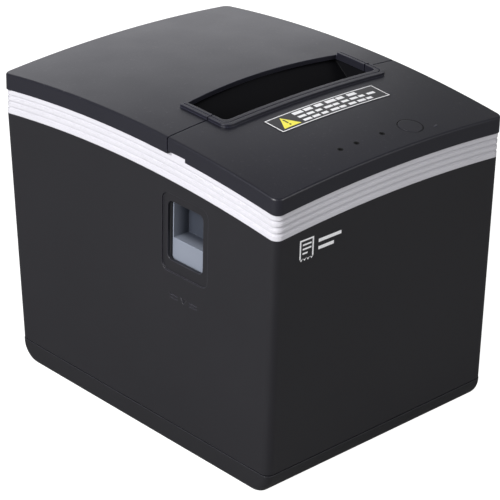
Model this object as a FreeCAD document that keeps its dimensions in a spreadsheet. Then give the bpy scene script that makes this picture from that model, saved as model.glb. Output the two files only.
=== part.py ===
import FreeCAD, Part
import math
import os
import Sketcher

# A thermal receipt printer: a body shell on a base tray, a light trim band and
# a black domed cap. The rear two thirds of the cap are a lid that carries the
# platen and swings back over the paper bin. The front is at -Y, the release
# button on -X, and the feet stand on Z = 0.

doc = FreeCAD.newDocument("receipt_printer")
sheet = doc.addObject("Spreadsheet::Sheet", "Sizes")


class Size:
    """A length with its value and the expression that works it out from the sheet."""

    def __init__(self, text, value):
        self.text = text
        self.value = value

    def __float__(self):
        return self.value

    def __add__(self, other):
        return Size(f"({self.text} + {words(other)})", self.value + float(other))

    def __radd__(self, other):
        return Size(f"({words(other)} + {self.text})", float(other) + self.value)

    def __sub__(self, other):
        return Size(f"({self.text} - {words(other)})", self.value - float(other))

    def __rsub__(self, other):
        return Size(f"({words(other)} - {self.text})", float(other) - self.value)

    def __mul__(self, other):
        return Size(f"({self.text} * {words(other)})", self.value * float(other))

    def __rmul__(self, other):
        return Size(f"({words(other)} * {self.text})", float(other) * self.value)

    def __truediv__(self, other):
        return Size(f"({self.text} / {words(other)})", self.value / float(other))

    def __neg__(self):
        return Size(f"(-1 * {self.text})", -self.value)


def words(value):
    """The text of a size or of a plain number in an expression."""
    if isinstance(value, Size):
        return value.text
    return repr(float(value))


def cosine(angle):
    return Size(f"cos({words(angle)})", math.cos(math.radians(float(angle))))


def sine(angle):
    return Size(f"sin({words(angle)})", math.sin(math.radians(float(angle))))


row = [0]


def size(alias, value, note):
    """Write one driving dimension to the sheet, with its alias and what it is."""
    row[0] += 1
    sheet.set(f"A{row[0]}", note)
    sheet.set(f"B{row[0]}", str(value))
    sheet.setAlias(f"B{row[0]}", alias)
    return Size(f"Sizes.{alias}", float(sheet.getContents(f"B{row[0]}")))


# ---- Driving dimensions, in millimetres and degrees ----

body_width = size("body_width", 145, "width over the cap")
body_depth = size("body_depth", 190, "depth over the cap")
cap_proud = size("cap_proud", 0.4, "how far the cap stands out over the band")
body_round = size("body_round", 4, "vertical corner radius of the body")
cap_round = size("cap_round", 4, "vertical corner radius of the cap")
wall = size("wall", 2.4, "wall of the body, the tray and the band")
cap_wall = size("cap_wall", 2.2, "wall of the cap")
foot_height = size("foot_height", 1.5, "height of the rubber feet")
tray_top = size("tray_top", 13, "height of the seam over the base tray")
seam_gap = size("seam_gap", 0.6, "open line between the tray and the body")
body_top = size("body_top", 131.3, "height of the body's edge at its corners")
band_height = size("band_height", 12, "height of the trim band")
cap_gap = size("cap_gap", 0.4, "open line between the band and the cap")
cap_height = size("cap_height", 20.3, "cap edge over the body's edge, at the corners")
arch_across = size("arch_across", 3.4, "rise of the arch from side to side")
arch_along = size("arch_along", 6.6, "rise of the arch from front to rear")
front_lean = size("front_lean", 1.0, "how far the front wall leans in at the seam")
rear_lean = size("rear_lean", 9.6, "how far the rear wall leans in at the seam")
tray_end_round = size("tray_end_round", 11, "lower front and rear edges of the tray")
tray_side_round = size("tray_side_round", 3.6, "lower side edges of the tray")
lid_front = size("lid_front", 24, "the lid's front edge, forward of the middle")
lid_seam = size("lid_seam", 0.8, "open line between the lid and the front cover")
slit = size("slit", 0.3, "gap between pieces that move past each other")
running = size("running", 0.05, "radial clearance of a shaft in its bore")
seat_gap = size("seat_gap", 0.2, "gap round a piece that sits in an opening")
sheet_steel = size("sheet_steel", 1.5, "thickness of the steel brackets")

lane = size("lane", 3.5, "middle of the paper's path, to the right of the middle")
paper_half = size("paper_half", 42, "half of the paper bin's inner width")
roll_radius = size("roll_radius", 42, "inner radius of the paper bin")
bin_wall = size("bin_wall", 2, "wall of the paper bin")
bin_middle = size("bin_middle", 34, "middle of the paper bin behind the middle")
bin_axis = size("bin_axis", 74.5, "height of the middle of the roll")
deck_top = size("deck_top", 129, "top of the deck round the bin")

hinge_back = size("hinge_back", 92.6, "the lid's hinge axis behind the middle")
hinge_up = size("hinge_up", 149, "height of the lid's hinge axis")
hinge_round = size("hinge_round", 2.1, "outer radius of the hinge eyes")
hinge_pin = size("hinge_pin", 1.0, "radius of the hinge pins")
hinge_side = size("hinge_side", 48, "the hinge lugs from the middle")
hinge_lug = size("hinge_lug", 6, "width of a hinge lug")

platen_back = size("platen_back", -16, "the platen's axis behind the middle")
platen_up = size("platen_up", 128, "height of the platen's axis")
platen_radius = size("platen_radius", 6, "radius of the platen rubber")
platen_half = size("platen_half", 40, "half length of the platen rubber")
shaft_radius = size("shaft_radius", 2.5, "radius of the platen shaft")
bush_radius = size("bush_radius", 4, "outer radius of the platen bushes")
gear_module = size("gear_module", 0.6, "module of the feed gears")
gear_in = size("gear_in", 47.5, "inner face of the feed gears from the lane")
gear_width = size("gear_width", 3.5, "face width of the feed gears")
plate_in = size("plate_in", 45, "inner face of the side plates from the lane")

head_angle = size("head_angle", 20, "the print head's lean")
head_gap = size("head_gap", 0.15, "gap between the print head and the rubber")
latch_back = size("latch_back", -27, "the latch shaft behind the middle")
latch_up = size("latch_up", 102, "height of the latch shaft")
latch_radius = size("latch_radius", 2, "radius of the latch shaft")
crank_reach = size("crank_reach", 16, "length of the latch crank")

cutter_back = size("cutter_back", -48, "the cutter shaft behind the middle")
cutter_up = size("cutter_up", 134.6, "height of the cutter shaft")
blade_thick = size("blade_thick", 0.8, "thickness of the moving blade")
cutter_pitch = size("cutter_pitch", 4, "pitch radius of the cutter pinions")

window_front = size("window_front", -47.4, "front edge of the side window")
window_back = size("window_back", -23.5, "rear edge of the side window")
window_low = size("window_low", 97.5, "lower edge of the side window")
window_high = size("window_high", 127, "upper edge of the side window")
ledge_up = size("ledge_up", 107.6, "height of the release button's ledge")

mouth_left = size("mouth_left", -45, "left end of the paper mouth")
mouth_right = size("mouth_right", 52, "right end of the paper mouth")
mouth_front = size("mouth_front", -32, "front edge of the paper mouth")
mouth_back = size("mouth_back", -5, "rear edge of the paper mouth at its ends")
mouth_bow = size("mouth_bow", 3.5, "bow of the mouth's rear edge")
rim_front = size("rim_front", 4.5, "width of the mouth's raised rim in front")
rim_side = size("rim_side", 3.5, "width of the mouth's raised rim at the sides")
rim_height = size("rim_height", 1.3, "height of the mouth's raised rim")

button_x = size("button_x", 22.5, "the feed button to the right of the middle")
button_y = size("button_y", -82.3, "the feed button behind the middle")
button_radius = size("button_radius", 5.75, "radius of the feed button")
lamp_y = size("lamp_y", -80.9, "the lamps behind the middle")
lamp_xs = (-20.8, -10.7, 5.6)
lamp_radius = size("lamp_radius", 0.9, "radius of the lamps")
lamp_sunk = size("lamp_sunk", 1.2, "how far the lamps sit below the cover")

rocker_swing = size("rocker_swing", 14, "swing of the power rocker")
board_low = size("board_low", 20, "height of the main board's underside")
half_cap = body_width / 2
deep_cap = body_depth / 2
half_body = half_cap - cap_proud
deep_body = deep_cap - cap_proud
body_low = tray_top + seam_gap
low_front = front_lean - deep_body
low_back = deep_body - rear_lean
cap_top = body_top + cap_height
cap_low = body_top + band_height + cap_gap
high = body_top + 60
doc.recompute()


# ---- Ways of making solids whose sizes follow the sheet ----

def bind(thing, settings):
    """Tie each named property of an object to a size or a number."""
    for name, value in settings.items():
        thing.setExpression(name, words(value))
    return thing


def box(x, y, z, name="Block"):
    """A block between two places along each axis."""
    block = doc.addObject("Part::Box", name)
    places = {"Length": x[1] - x[0], "Width": y[1] - y[0], "Height": z[1] - z[0]}
    places.update({"Placement.Base.x": x[0], "Placement.Base.y": y[0], "Placement.Base.z": z[0]})
    return bind(block, places)


def rod_x(x, y, z, radius, name="Rod"):
    """A round bar along X between two places."""
    rod = doc.addObject("Part::Cylinder", name)
    rod.Placement = FreeCAD.Placement(FreeCAD.Vector(), FreeCAD.Rotation(FreeCAD.Vector(0, 1, 0), 90))
    places = {"Radius": radius, "Height": x[1] - x[0]}
    places.update({"Placement.Base.x": x[0], "Placement.Base.y": y, "Placement.Base.z": z})
    return bind(rod, places)


def rod_y(x, y, z, radius, name="Rod"):
    """A round bar along Y between two places."""
    rod = doc.addObject("Part::Cylinder", name)
    rod.Placement = FreeCAD.Placement(FreeCAD.Vector(), FreeCAD.Rotation(FreeCAD.Vector(1, 0, 0), -90))
    places = {"Radius": radius, "Height": y[1] - y[0]}
    places.update({"Placement.Base.x": x, "Placement.Base.y": y[0], "Placement.Base.z": z})
    return bind(rod, places)


def rod_z(x, y, z, radius, name="Rod"):
    """A round bar along Z between two places."""
    rod = doc.addObject("Part::Cylinder", name)
    places = {"Radius": radius, "Height": z[1] - z[0]}
    places.update({"Placement.Base.x": x, "Placement.Base.y": y, "Placement.Base.z": z[0]})
    return bind(rod, places)


def fuse(*pieces):
    joined = doc.addObject("Part::MultiFuse", "Joined")
    joined.Shapes = list(pieces)
    joined.Refine = True
    return joined


def cut(piece, *tools):
    """A piece with one or more tools taken out of it."""
    result = doc.addObject("Part::Cut", "Cut")
    result.Base = piece
    result.Tool = tools[0] if len(tools) == 1 else fuse(*tools)
    result.Refine = True
    return result


def common(*pieces):
    shared = doc.addObject("Part::MultiCommon", "Shared")
    shared.Shapes = list(pieces)
    return shared


def group(*pieces):
    """Separate solids that share one node."""
    several = doc.addObject("Part::Compound", "Group")
    several.Links = list(pieces)
    return several


def beside(sign, near, far):
    """The span between two distances from the lane, on one side of it."""
    if sign > 0:
        return lane + near, lane + far
    return lane - far, lane - near


subparts = []


def keep(piece, label):
    """Give a finished piece the label that names its file."""
    piece.Label = label
    subparts.append(piece)
    return piece


def plane_of(body, role):
    return [item for item in body.Origin.OriginFeatures if item.Role == role][0]


def drawn(outline, sketch):
    """Draw a closed outline and tie each of its points to the sheet."""
    count = len(outline)
    for index in range(count):
        first = outline[index]
        second = outline[(index + 1) % count]
        start = FreeCAD.Vector(float(first[0]), float(first[1]), 0)
        end = FreeCAD.Vector(float(second[0]), float(second[1]), 0)
        sketch.addGeometry(Part.LineSegment(start, end), False)
    for index in range(count):
        sketch.addConstraint(Sketcher.Constraint("Coincident", index, 2, (index + 1) % count, 1))
    for index, point in enumerate(outline):
        for kind, value in (("DistanceX", point[0]), ("DistanceY", point[1])):
            at = sketch.addConstraint(Sketcher.Constraint(kind, -1, 1, index, 1, float(value)))
            sketch.setExpression(f"Constraints[{at}]", words(value))


def plate_x(outline, x, name):
    """A plate drawn in the YZ plane and padded along X between two places."""
    body = doc.addObject("PartDesign::Body", name)
    sketch = body.newObject("Sketcher::SketchObject", f"{name}_outline")
    sketch.AttachmentSupport = (plane_of(body, "YZ_Plane"), [""])
    sketch.MapMode = "FlatFace"
    drawn(outline, sketch)
    pad = body.newObject("PartDesign::Pad", f"{name}_pad")
    pad.Profile = sketch
    bind(pad, {"Length": x[1] - x[0]})
    bind(body, {"Placement.Base.x": x[0]})
    return body


def plate_z(outline, z, name):
    """A plate drawn in the XY plane and padded along Z between two places."""
    body = doc.addObject("PartDesign::Body", name)
    sketch = body.newObject("Sketcher::SketchObject", f"{name}_outline")
    sketch.AttachmentSupport = (plane_of(body, "XY_Plane"), [""])
    sketch.MapMode = "FlatFace"
    drawn(outline, sketch)
    pad = body.newObject("PartDesign::Pad", f"{name}_pad")
    pad.Profile = sketch
    bind(pad, {"Length": z[1] - z[0]})
    bind(body, {"Placement.Base.z": z[0]})
    return body


def shaped(shape, name):
    """A piece whose surfaces no primitive gives."""
    piece = doc.addObject("Part::Feature", name)
    piece.Shape = shape
    return piece


def rounded_wire(x, y, z, radius):
    """A closed rectangle with round corners at one height."""
    left, right = float(x[0]), float(x[1])
    front, back = float(y[0]), float(y[1])
    radius = float(radius)
    middle = radius * (1 - math.sqrt(0.5))
    up = float(z)
    point = FreeCAD.Vector
    line = Part.LineSegment
    arc = Part.Arc
    edges = [
        line(point(left + radius, front, up), point(right - radius, front, up)),
        arc(point(right - radius, front, up), point(right - middle, front + middle, up),
            point(right, front + radius, up)),
        line(point(right, front + radius, up), point(right, back - radius, up)),
        arc(point(right, back - radius, up), point(right - middle, back - middle, up),
            point(right - radius, back, up)),
        line(point(right - radius, back, up), point(left + radius, back, up)),
        arc(point(left + radius, back, up), point(left + middle, back - middle, up),
            point(left, back - radius, up)),
        line(point(left, back - radius, up), point(left, front + radius, up)),
        arc(point(left, front + radius, up), point(left + middle, front + middle, up),
            point(left + radius, front, up)),
    ]
    return Part.Wire([edge.toShape() for edge in edges])


def rounded_block(x, y, z, radius):
    """A block with four round vertical edges."""
    face = Part.Face(rounded_wire(x, y, z[0], radius))
    return face.extrude(FreeCAD.Vector(0, 0, float(z[1]) - float(z[0])))


def dome_poles(rise, half, reach):
    """Heights of three control points of the parabola that rises to its middle."""
    edge = rise * (1 - (reach / half) ** 2)
    return [edge, 2 * rise - edge, edge]


def under_dome(level, depth=300.0):
    """Everything below the arched surface whose corners are at one height."""
    across = float(half_cap) + 10
    along = float(deep_cap) + 10
    rise_x = dome_poles(float(arch_across), float(half_cap), across)
    rise_y = dome_poles(float(arch_along), float(deep_cap), along)
    surface = Part.BezierSurface()
    surface.increase(2, 2)
    for i, x in enumerate((-across, 0.0, across)):
        for j, y in enumerate((-along, 0.0, along)):
            height = float(level) + rise_x[i] + rise_y[j]
            surface.setPole(i + 1, j + 1, FreeCAD.Vector(x, y, height))
    return surface.toShape().extrude(FreeCAD.Vector(0, 0, -depth))


def dome_slab(low, up):
    """The layer between two arched surfaces."""
    return under_dome(up, float(up) - float(low))


def ring(x, y, z, radius, thick):
    """A wall of one thickness that stands inside a rounded rectangle."""
    thick = float(thick)
    inner_x = (float(x[0]) + thick, float(x[1]) - thick)
    inner_y = (float(y[0]) + thick, float(y[1]) - thick)
    inner_radius = max(float(radius) - thick, 0.5)
    outer = rounded_block(x, y, z, radius)
    return outer.cut(rounded_block(inner_x, inner_y, z, inner_radius))


def inward(pair, by):
    """A span made smaller by one distance at both ends."""
    return pair[0] + by, pair[1] - by


body_x = (-half_body, half_body)
body_y = (-deep_body, deep_body)
low_y = (low_front, low_back)
cap_x = (-half_cap, half_cap)
cap_y = (-deep_cap, deep_cap)


# ---- Housing ----

def tray_block(inset):
    """The base tray's outside, made smaller all round by an inset."""
    inset = float(inset)
    half = float(half_body) - inset
    front = float(low_front) + inset
    back = float(low_back) - inset
    low = float(foot_height) + inset
    up = float(tray_top) + (20 if inset else 0)
    radius = float(tray_end_round) - inset
    middle = radius * (1 - math.sqrt(0.5))
    point = FreeCAD.Vector
    outline = [
        Part.LineSegment(point(-half, front, up), point(-half, front, low + radius)),
        Part.Arc(point(-half, front, low + radius), point(-half, front + middle, low + middle),
                 point(-half, front + radius, low)),
        Part.LineSegment(point(-half, front + radius, low), point(-half, back - radius, low)),
        Part.Arc(point(-half, back - radius, low), point(-half, back - middle, low + middle),
                 point(-half, back, low + radius)),
        Part.LineSegment(point(-half, back, low + radius), point(-half, back, up)),
        Part.LineSegment(point(-half, back, up), point(-half, front, up)),
    ]
    face = Part.Face(Part.Wire([edge.toShape() for edge in outline]))
    block = face.extrude(point(2 * half, 0, 0))
    side_edges = []
    for edge in block.Edges:
        box_of = edge.BoundBox
        flat = box_of.XLength < 0.01
        if flat and box_of.ZMin < up - 0.01:
            side_edges.append(edge)
    return block.makeFillet(float(tray_side_round) - inset, side_edges)


screw_x = half_body - 8.6
screw_ys = [-70, 62]
foot_ys = [-74, 64]
foot_x = 50
foot_radius = 7
screw_head = 2.75
screw_shank = 1.45


def base_tray():
    """The moulded tray that closes the bottom, with a locating rim and screw bosses."""
    shell = shaped(tray_block(0).cut(tray_block(wall)), "TrayWalls")
    rim_x = inward(body_x, wall - 0.6)
    rim_y = inward(low_y, wall - 0.6)
    foot_of_rim = shaped(ring(rim_x, rim_y, (tray_top - 2, tray_top), body_round, 2.2), "RimFoot")
    rim_x = inward(body_x, wall + seat_gap)
    rim_y = inward(low_y, wall + seat_gap)
    rim = shaped(ring(rim_x, rim_y, (tray_top - 2, tray_top + 3), body_round - wall, 1.4), "Rim")
    floor = foot_height + wall
    bosses = []
    holes = []
    for sign in (-1, 1):
        for y in screw_ys:
            bosses.append(rod_z(sign * screw_x, y, (floor - 1, tray_top), 4))
            holes.append(rod_z(sign * screw_x, y, (foot_height - 1, tray_top + 1), screw_shank + 0.25))
            holes.append(rod_z(sign * screw_x, y, (foot_height - 1, foot_height + 3), screw_head + 0.4))
    vents = [box((-30 + 10 * i, -26 + 10 * i), (20, 60), (foot_height - 1, floor + 1)) for i in range(7)]
    return keep(cut(fuse(shell, foot_of_rim, rim, *bosses), *holes, *vents), "base_tray")


def rubber_feet():
    """Four round rubber pads glued under the tray."""
    feet = []
    for sign in (-1, 1):
        for y in foot_ys:
            pad = rod_z(sign * foot_x, y, (0, foot_height), foot_radius)
            feet.append(cut(pad, rod_z(sign * foot_x, y, (-1, 0.5), foot_radius / 2)))
    return keep(group(*feet), "rubber_feet")


def base_screws():
    """Four pan-head screws that hold the tray to the body."""
    screws = []
    for sign in (-1, 1):
        for y in screw_ys:
            x = sign * screw_x
            head = rod_z(x, y, (foot_height + 0.9, foot_height + 3), screw_head)
            shank = rod_z(x, y, (foot_height + 2, tray_top + 12), screw_shank)
            slot = box((x - 2, x + 2), (y - 0.3, y + 0.3), (foot_height, foot_height + 1.7))
            screws.append(cut(fuse(head, shank), slot))
    return keep(group(*screws), "base_screws")


def body_solid(inset):
    """The body's outside, made smaller by an inset: sloped up to the arch, then upright."""
    inset = float(inset)
    radius = max(float(body_round) - inset, 0.5)
    lift = 5 if inset else 0
    low_wire = rounded_wire(inward(body_x, inset), inward(low_y, inset), body_low, radius)
    up_wire = rounded_wire(inward(body_x, inset), inward(body_y, inset), body_top, radius)
    sloped = Part.makeLoft([low_wire, up_wire], True, True)
    upright = rounded_block(inward(body_x, inset), inward(body_y, inset), (body_top, high), radius)
    whole = sloped.fuse(upright)
    if lift:
        below = rounded_block(inward(body_x, inset), inward(low_y, inset),
                              (body_low - lift, body_low), radius)
        whole = whole.fuse(below)
    return whole


port_x = (-58, 58)
port_z = (18, 50.4)


def rounded_window(x, y, z, radius):
    """A block along X whose four long edges are round."""
    flat = rounded_block((-z[1], -z[0]), y, x, radius)
    flat.rotate(FreeCAD.Vector(), FreeCAD.Vector(0, 1, 0), 90)
    return flat


def open_mark():
    """A generic mark under the window: a triangle that points down between two bars."""
    x = (-half_body - 1, -half_body + 0.4)
    middle = (window_front + window_back) / 2
    triangle = plate_x([(middle - 2.2, 81.4), (middle, 78.6), (middle + 2.2, 81.4)], x, "MarkArrow")
    bars = []
    for sign in (-1, 1):
        for up in (79.0, 80.6):
            centre = middle + 6.5 * sign
            bars.append(box(x, (centre - 2.6, centre + 2.6), (up, up + 0.7)))
    return fuse(triangle, *bars)


def body_shell():
    """The tall black housing: window and recess on the left, connector bay at the rear."""
    walls = body_solid(0).common(under_dome(body_top)).cut(body_solid(wall))
    bay = rounded_block(inward(port_x, -2), (low_back - 7, deep_body), inward(port_z, -1.8), 1)
    walls = walls.fuse(bay.common(body_solid(0.2)))
    recess = rounded_window((-half_body - 1, -half_body + 0.7), (window_front - 3.8, window_back + 3.2),
                            (window_low - 5.7, window_high + 3.8), 4)
    window = rounded_window((-half_body - 2, -half_body + 6), (window_front, window_back),
                            (window_low, window_high), 3)
    walls = walls.cut(recess.fuse(window)).removeSplitter()
    housing = shaped(walls, "BodyWalls")
    bay_hole = box(port_x, (low_back - 9, deep_body + 9), port_z)
    posts = []
    pilots = []
    for sign in (-1, 1):
        for y in screw_ys:
            posts.append(rod_z(sign * screw_x, y, (body_low, 30), 4))
            ends = sorted((sign * screw_x, sign * (half_body - 1)), key=float)
            posts.append(box(ends, (y - 1, y + 1), (tray_top + 3.5, 30)))
            pilots.append(rod_z(sign * screw_x, y, (body_low - 1, 28), screw_shank + running))
    ledges = []
    for sign in (-1, 1):
        ends = sorted((sign * (half_body - wall - 3), sign * (half_body - 1)), key=float)
        ledges.append(box(ends, (10, 86), (deck_top - 4.6, deck_top - 2)))
    return keep(cut(fuse(housing, *posts, *ledges), bay_hole, *pilots, open_mark()), "body_shell")


def trim_band():
    """The light band between body and cap: three grooves, and room for the lid's rear edge."""
    top = body_top + band_height
    walls = ring(body_x, body_y, (body_top - 20, high), body_round, wall)
    band = walls.common(dome_slab(body_top, top))
    for wide, deep in ((1.6, 0.3), (0.8, 0.6)):
        skin = ring(body_x, body_y, (body_top - 20, high), body_round, deep)
        for index in range(3):
            low = body_top + band_height * (index + 1) / 4 - wide / 2
            band = band.cut(skin.common(dome_slab(low, low + wide)))
    for margin, deep in ((1.6, 2), (-1, 0.35)):
        corner = FreeCAD.Vector(margin - float(half_body), float(deep_body) - 5, float(body_top))
        relief = Part.makeBox(2 * (float(half_body) - margin), 10, 60, corner)
        band = band.cut(relief.common(dome_slab(top - deep, top + 5)))
    tabs = walls.common(dome_slab(top - 1, top + 1.6))
    tab_corner = FreeCAD.Vector(-100, -float(lid_front) - 11.4, float(body_top))
    tabs = tabs.common(Part.makeBox(200, 9, 60, tab_corner))
    return keep(shaped(band.fuse(tabs).removeSplitter(), "Band"), "trim_band")


def cap_blank():
    """The domed cap before it is split: a solid with its upper edge rounded."""
    block = rounded_block(cap_x, cap_y, (body_top, high), cap_round)
    block = block.common(dome_slab(cap_low, cap_top))
    upper = []
    for edge in block.Edges:
        middle = edge.valueAt((edge.FirstParameter + edge.LastParameter) / 2)
        if middle.z > float(cap_low) + 7.5 and edge.BoundBox.ZLength < 8 and is_top_edge(edge, middle):
            upper.append(edge)
    return block.makeFillet(1.0, upper)


def is_top_edge(edge, middle):
    """Whether an edge lies on the cap's arched top."""
    x_share = middle.x / float(half_cap)
    y_share = middle.y / float(deep_cap)
    top = float(cap_top) + float(arch_across) * (1 - x_share ** 2) + float(arch_along) * (1 - y_share ** 2)
    return abs(middle.z - top) < 0.05


def cap_hollow():
    """The space inside the cap."""
    inner = rounded_block(inward(cap_x, cap_wall), inward(cap_y, cap_wall), (body_top - 20, high),
                          cap_round - cap_wall)
    return inner.common(under_dome(cap_top - cap_wall, 60))


def mouth_tool(low, up):
    """The mouth's opening: straight in front and at the sides, bowed at the rear."""
    left, right = float(mouth_left), float(mouth_right)
    front, back = float(mouth_front), float(mouth_back)
    radius = 3.0
    middle = radius * (1 - math.sqrt(0.5))
    bow = back + float(mouth_bow)
    z = float(low)
    point = FreeCAD.Vector
    edges = [
        Part.LineSegment(point(left + radius, front, z), point(right - radius, front, z)),
        Part.Arc(point(right - radius, front, z), point(right - middle, front + middle, z),
                 point(right, front + radius, z)),
        Part.LineSegment(point(right, front + radius, z), point(right, back, z)),
        Part.Arc(point(right, back, z), point((left + right) / 2, bow, z), point(left, back, z)),
        Part.LineSegment(point(left, back, z), point(left, front + radius, z)),
        Part.Arc(point(left, front + radius, z), point(left + middle, front + middle, z),
                 point(left + radius, front, z)),
    ]
    face = Part.Face(Part.Wire([edge.toShape() for edge in edges]))
    return face.extrude(point(0, 0, float(up) - z))


def mouth_rim():
    """The raised lip round the mouth's front and sides, with a groove along it."""
    x = (mouth_left - rim_side, mouth_right + rim_side)
    y = (mouth_front - rim_front, mouth_back + 6)
    tall = (cap_low, high)
    rim = rounded_block(x, y, tall, 4.5)
    rim = rim.cut(Part.makeBox(200, 40, 200, FreeCAD.Vector(-100, float(mouth_back) - 0.5, 0)))
    groove = ring(inward(x, rim_side / 2 - 0.3), inward(y, rim_front / 2 - 0.3), tall, 3.5, 0.6)
    groove = groove.common(dome_slab(cap_top + rim_height - 0.5, cap_top + rim_height + 3))
    return rim.common(dome_slab(cap_top - 1.5, cap_top + rim_height)).cut(groove)


def cap_half(front_piece, blank, rim):
    """One of the two pieces that the cap is split into at its seam."""
    seam = -float(lid_front)
    half_gap = float(lid_seam) / 2
    if front_piece:
        corner = FreeCAD.Vector(-200, seam - half_gap - 300, 0)
    else:
        corner = FreeCAD.Vector(-200, seam + half_gap, 0)
    side = Part.makeBox(400, 300, 400, corner)
    return blank.fuse(rim).cut(mouth_tool(body_top, high)).common(side)


def front_cover(blank, rim):
    """The fixed front of the cap, with the lamps, the button's hole and the mouth's front."""
    walls = cap_half(True, blank, rim)
    inner_wall = rounded_block((mouth_left - 1.6, mouth_right + 1.6), (mouth_front - 1.6, -lid_front - 1),
                               (body_top + 12, high), 4.6)
    inner_wall = inner_wall.cut(mouth_tool(body_top, high)).common(dome_slab(cap_top - 13, cap_top - 1))
    keep_front = Part.makeBox(400, 300, 400, FreeCAD.Vector(-200, -float(lid_front) - 301, 0))
    walls = walls.fuse(inner_wall.common(keep_front)).removeSplitter()
    tools = []
    for x in lamp_xs:
        tools.append(rod_z(x, lamp_y, (cap_low, high), lamp_radius + 0.05))
    tools.append(rod_z(button_x, button_y, (cap_low, high), button_radius + slit))
    for sign in (-1, 1):
        ends = sorted((sign * (half_cap - 3.2), sign * (half_cap + 1)), key=float)
        tools.append(box(ends, (-lid_front - 12, -lid_front + 1), (cap_low, cap_low + arch_along + 0.9)))
    pegs = [rod_z(x, y, (cap_top - 6, cap_top + 3.7), 2) for x in (-27, 33) for y in (-86.5, -74)]
    return keep(cut(fuse(shaped(walls, "CoverWalls"), *pegs), *tools), "front_cover")


def notice_label():
    """A thin printed label on the front cover."""
    patch = rounded_block((-31.2, 38), (-55.2, -42), (cap_low, high), 0.6)
    return keep(shaped(patch.common(dome_slab(cap_top, cap_top + 0.15)), "Label"), "notice_label")


def lid_shell(blank, rim):
    """The lid's outer shell, with hinge eyes under its rear edge."""
    walls = cap_half(False, blank, rim)
    eyes = []
    slots = []
    bores = []
    for sign in (-1, 1):
        middle = sign * hinge_side
        slots.append(box((middle - hinge_lug / 2 - 0.5, middle + hinge_lug / 2 + 0.5),
                         (hinge_back - 8, deep_cap + 1), (cap_low - 1, hinge_up + 2.4)))
        for way in (-1, 1):
            near = middle + way * (hinge_lug / 2 + 0.5)
            ends = sorted((near, near + way * 4), key=float)
            eyes.append(rod_x(ends, hinge_back, hinge_up, hinge_round))
            eyes.append(box(ends, (hinge_back - hinge_round, hinge_back + hinge_round),
                            (hinge_up, hinge_up + 3.2)))
        bores.append(rod_x((middle - 8, middle + 8), hinge_back, hinge_up, hinge_pin + running))
    shell = cut(shaped(walls, "LidWalls"), *slots)
    finger = rod_z(bin_x[1] + 9.5, platen_back + 36, (deck_top + 9.6, cap_top + 5), 2)
    return keep(cut(fuse(shell, finger, *eyes), *bores), "lid_shell")


def hinge_lugs():
    """Two steel lugs inside the rear wall that hold the lid's pins."""
    lugs = []
    for sign in (-1, 1):
        middle = sign * hinge_side
        ends = (middle - hinge_lug / 2, middle + hinge_lug / 2)
        stem = box(ends, (hinge_back - 4.4, hinge_back - 2.4), (hinge_up - 26, hinge_up + 1.8))
        arm = box(ends, (hinge_back - 3, hinge_back), (hinge_up - 1.8, hinge_up + 1.8))
        eye = rod_x(ends, hinge_back, hinge_up, hinge_round)
        bore = rod_x((ends[0] - 1, ends[1] + 1), hinge_back, hinge_up, hinge_pin)
        lugs.append(cut(fuse(stem, arm, eye), bore))
    return keep(group(*lugs), "hinge_lugs")


def hinge_pins():
    """The two steel pins that the lid turns on."""
    pins = []
    for sign in (-1, 1):
        middle = sign * hinge_side
        pins.append(rod_x((middle - 7, middle + 7), hinge_back, hinge_up, hinge_pin))
    return keep(group(*pins), "hinge_pins")


def hollow_cap():
    """Take the cap's inside out of the blank and leave the skirt and the top."""
    return cap_blank().cut(cap_hollow())


# ---- Paper bin and deck ----

bin_x = (lane - paper_half - bin_wall, lane + paper_half + bin_wall)
bin_outer = roll_radius + bin_wall
bin_front = bin_middle - bin_outer
bin_back = bin_middle + bin_outer
bin_lip = platen_up - 16
plate_back = platen_back + 22
plate_foot = latch_up - 15
dome_inside = shaped(under_dome(cap_top - cap_wall), "DomeInside")
dome_outside = shaped(under_dome(cap_top), "DomeOutside")


def paper_bin():
    """The tub that the paper roll drops into, open at the top and low in front."""
    inner_x = (lane - paper_half, lane + paper_half)
    outer = fuse(rod_x(bin_x, bin_middle, bin_axis, bin_outer),
                 box(bin_x, (bin_front, bin_back), (bin_axis, deck_top)))
    inner = fuse(rod_x(inner_x, bin_middle, bin_axis, roll_radius),
                 box(inner_x, (bin_front + bin_wall, bin_back - bin_wall), (bin_axis, deck_top + 9)))
    notch = box((bin_x[0] - 1, bin_x[1] + 1), (bin_front - 1, bin_front + 12), (bin_lip, deck_top + 9))
    flanges = []
    seats = []
    for sign in (-1, 1):
        flange_x = beside(sign, paper_half + bin_wall - 1, paper_half + bin_wall + 3)
        flanges.append(box(flange_x, (plate_back + 6, bin_back), (deck_top - 4, deck_top - 2)))
        seats.append(box(beside(sign, paper_half + 1, plate_in + sheet_steel + 1),
                         (bin_front + 2, plate_back), (plate_foot - 3, plate_foot)))
    tub = cut(fuse(outer, *flanges, *seats), inner, notch)
    return keep(tub, "paper_bin")


def top_deck():
    """The flat deck round the bin, seen when the lid is open."""
    half = half_body - wall - seat_gap
    plate = box((-half, half), (plate_back + 4, hinge_back - 5.6), (deck_top - 2, deck_top))
    hole = box((bin_x[0] - seat_gap, bin_x[1] + seat_gap), (plate_back - 9, bin_back + seat_gap),
               (deck_top - 9, deck_top + 9))
    return keep(cut(plate, hole), "top_deck")


def paper_sensor():
    """The low-paper sensor on the bin's right wall."""
    block = box((bin_x[1], bin_x[1] + 6), (bin_middle - 5, bin_middle + 5), (bin_axis - 14, bin_axis - 6))
    plug = box((bin_x[1] + 6, bin_x[1] + 9), (bin_middle - 3, bin_middle + 3),
               (bin_axis - 13, bin_axis - 9))
    return keep(fuse(block, plug), "paper_sensor")


switch_x = bin_x[1] + 9.5
switch_y = plate_back + 14
switch_top = deck_top + 9


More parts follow.
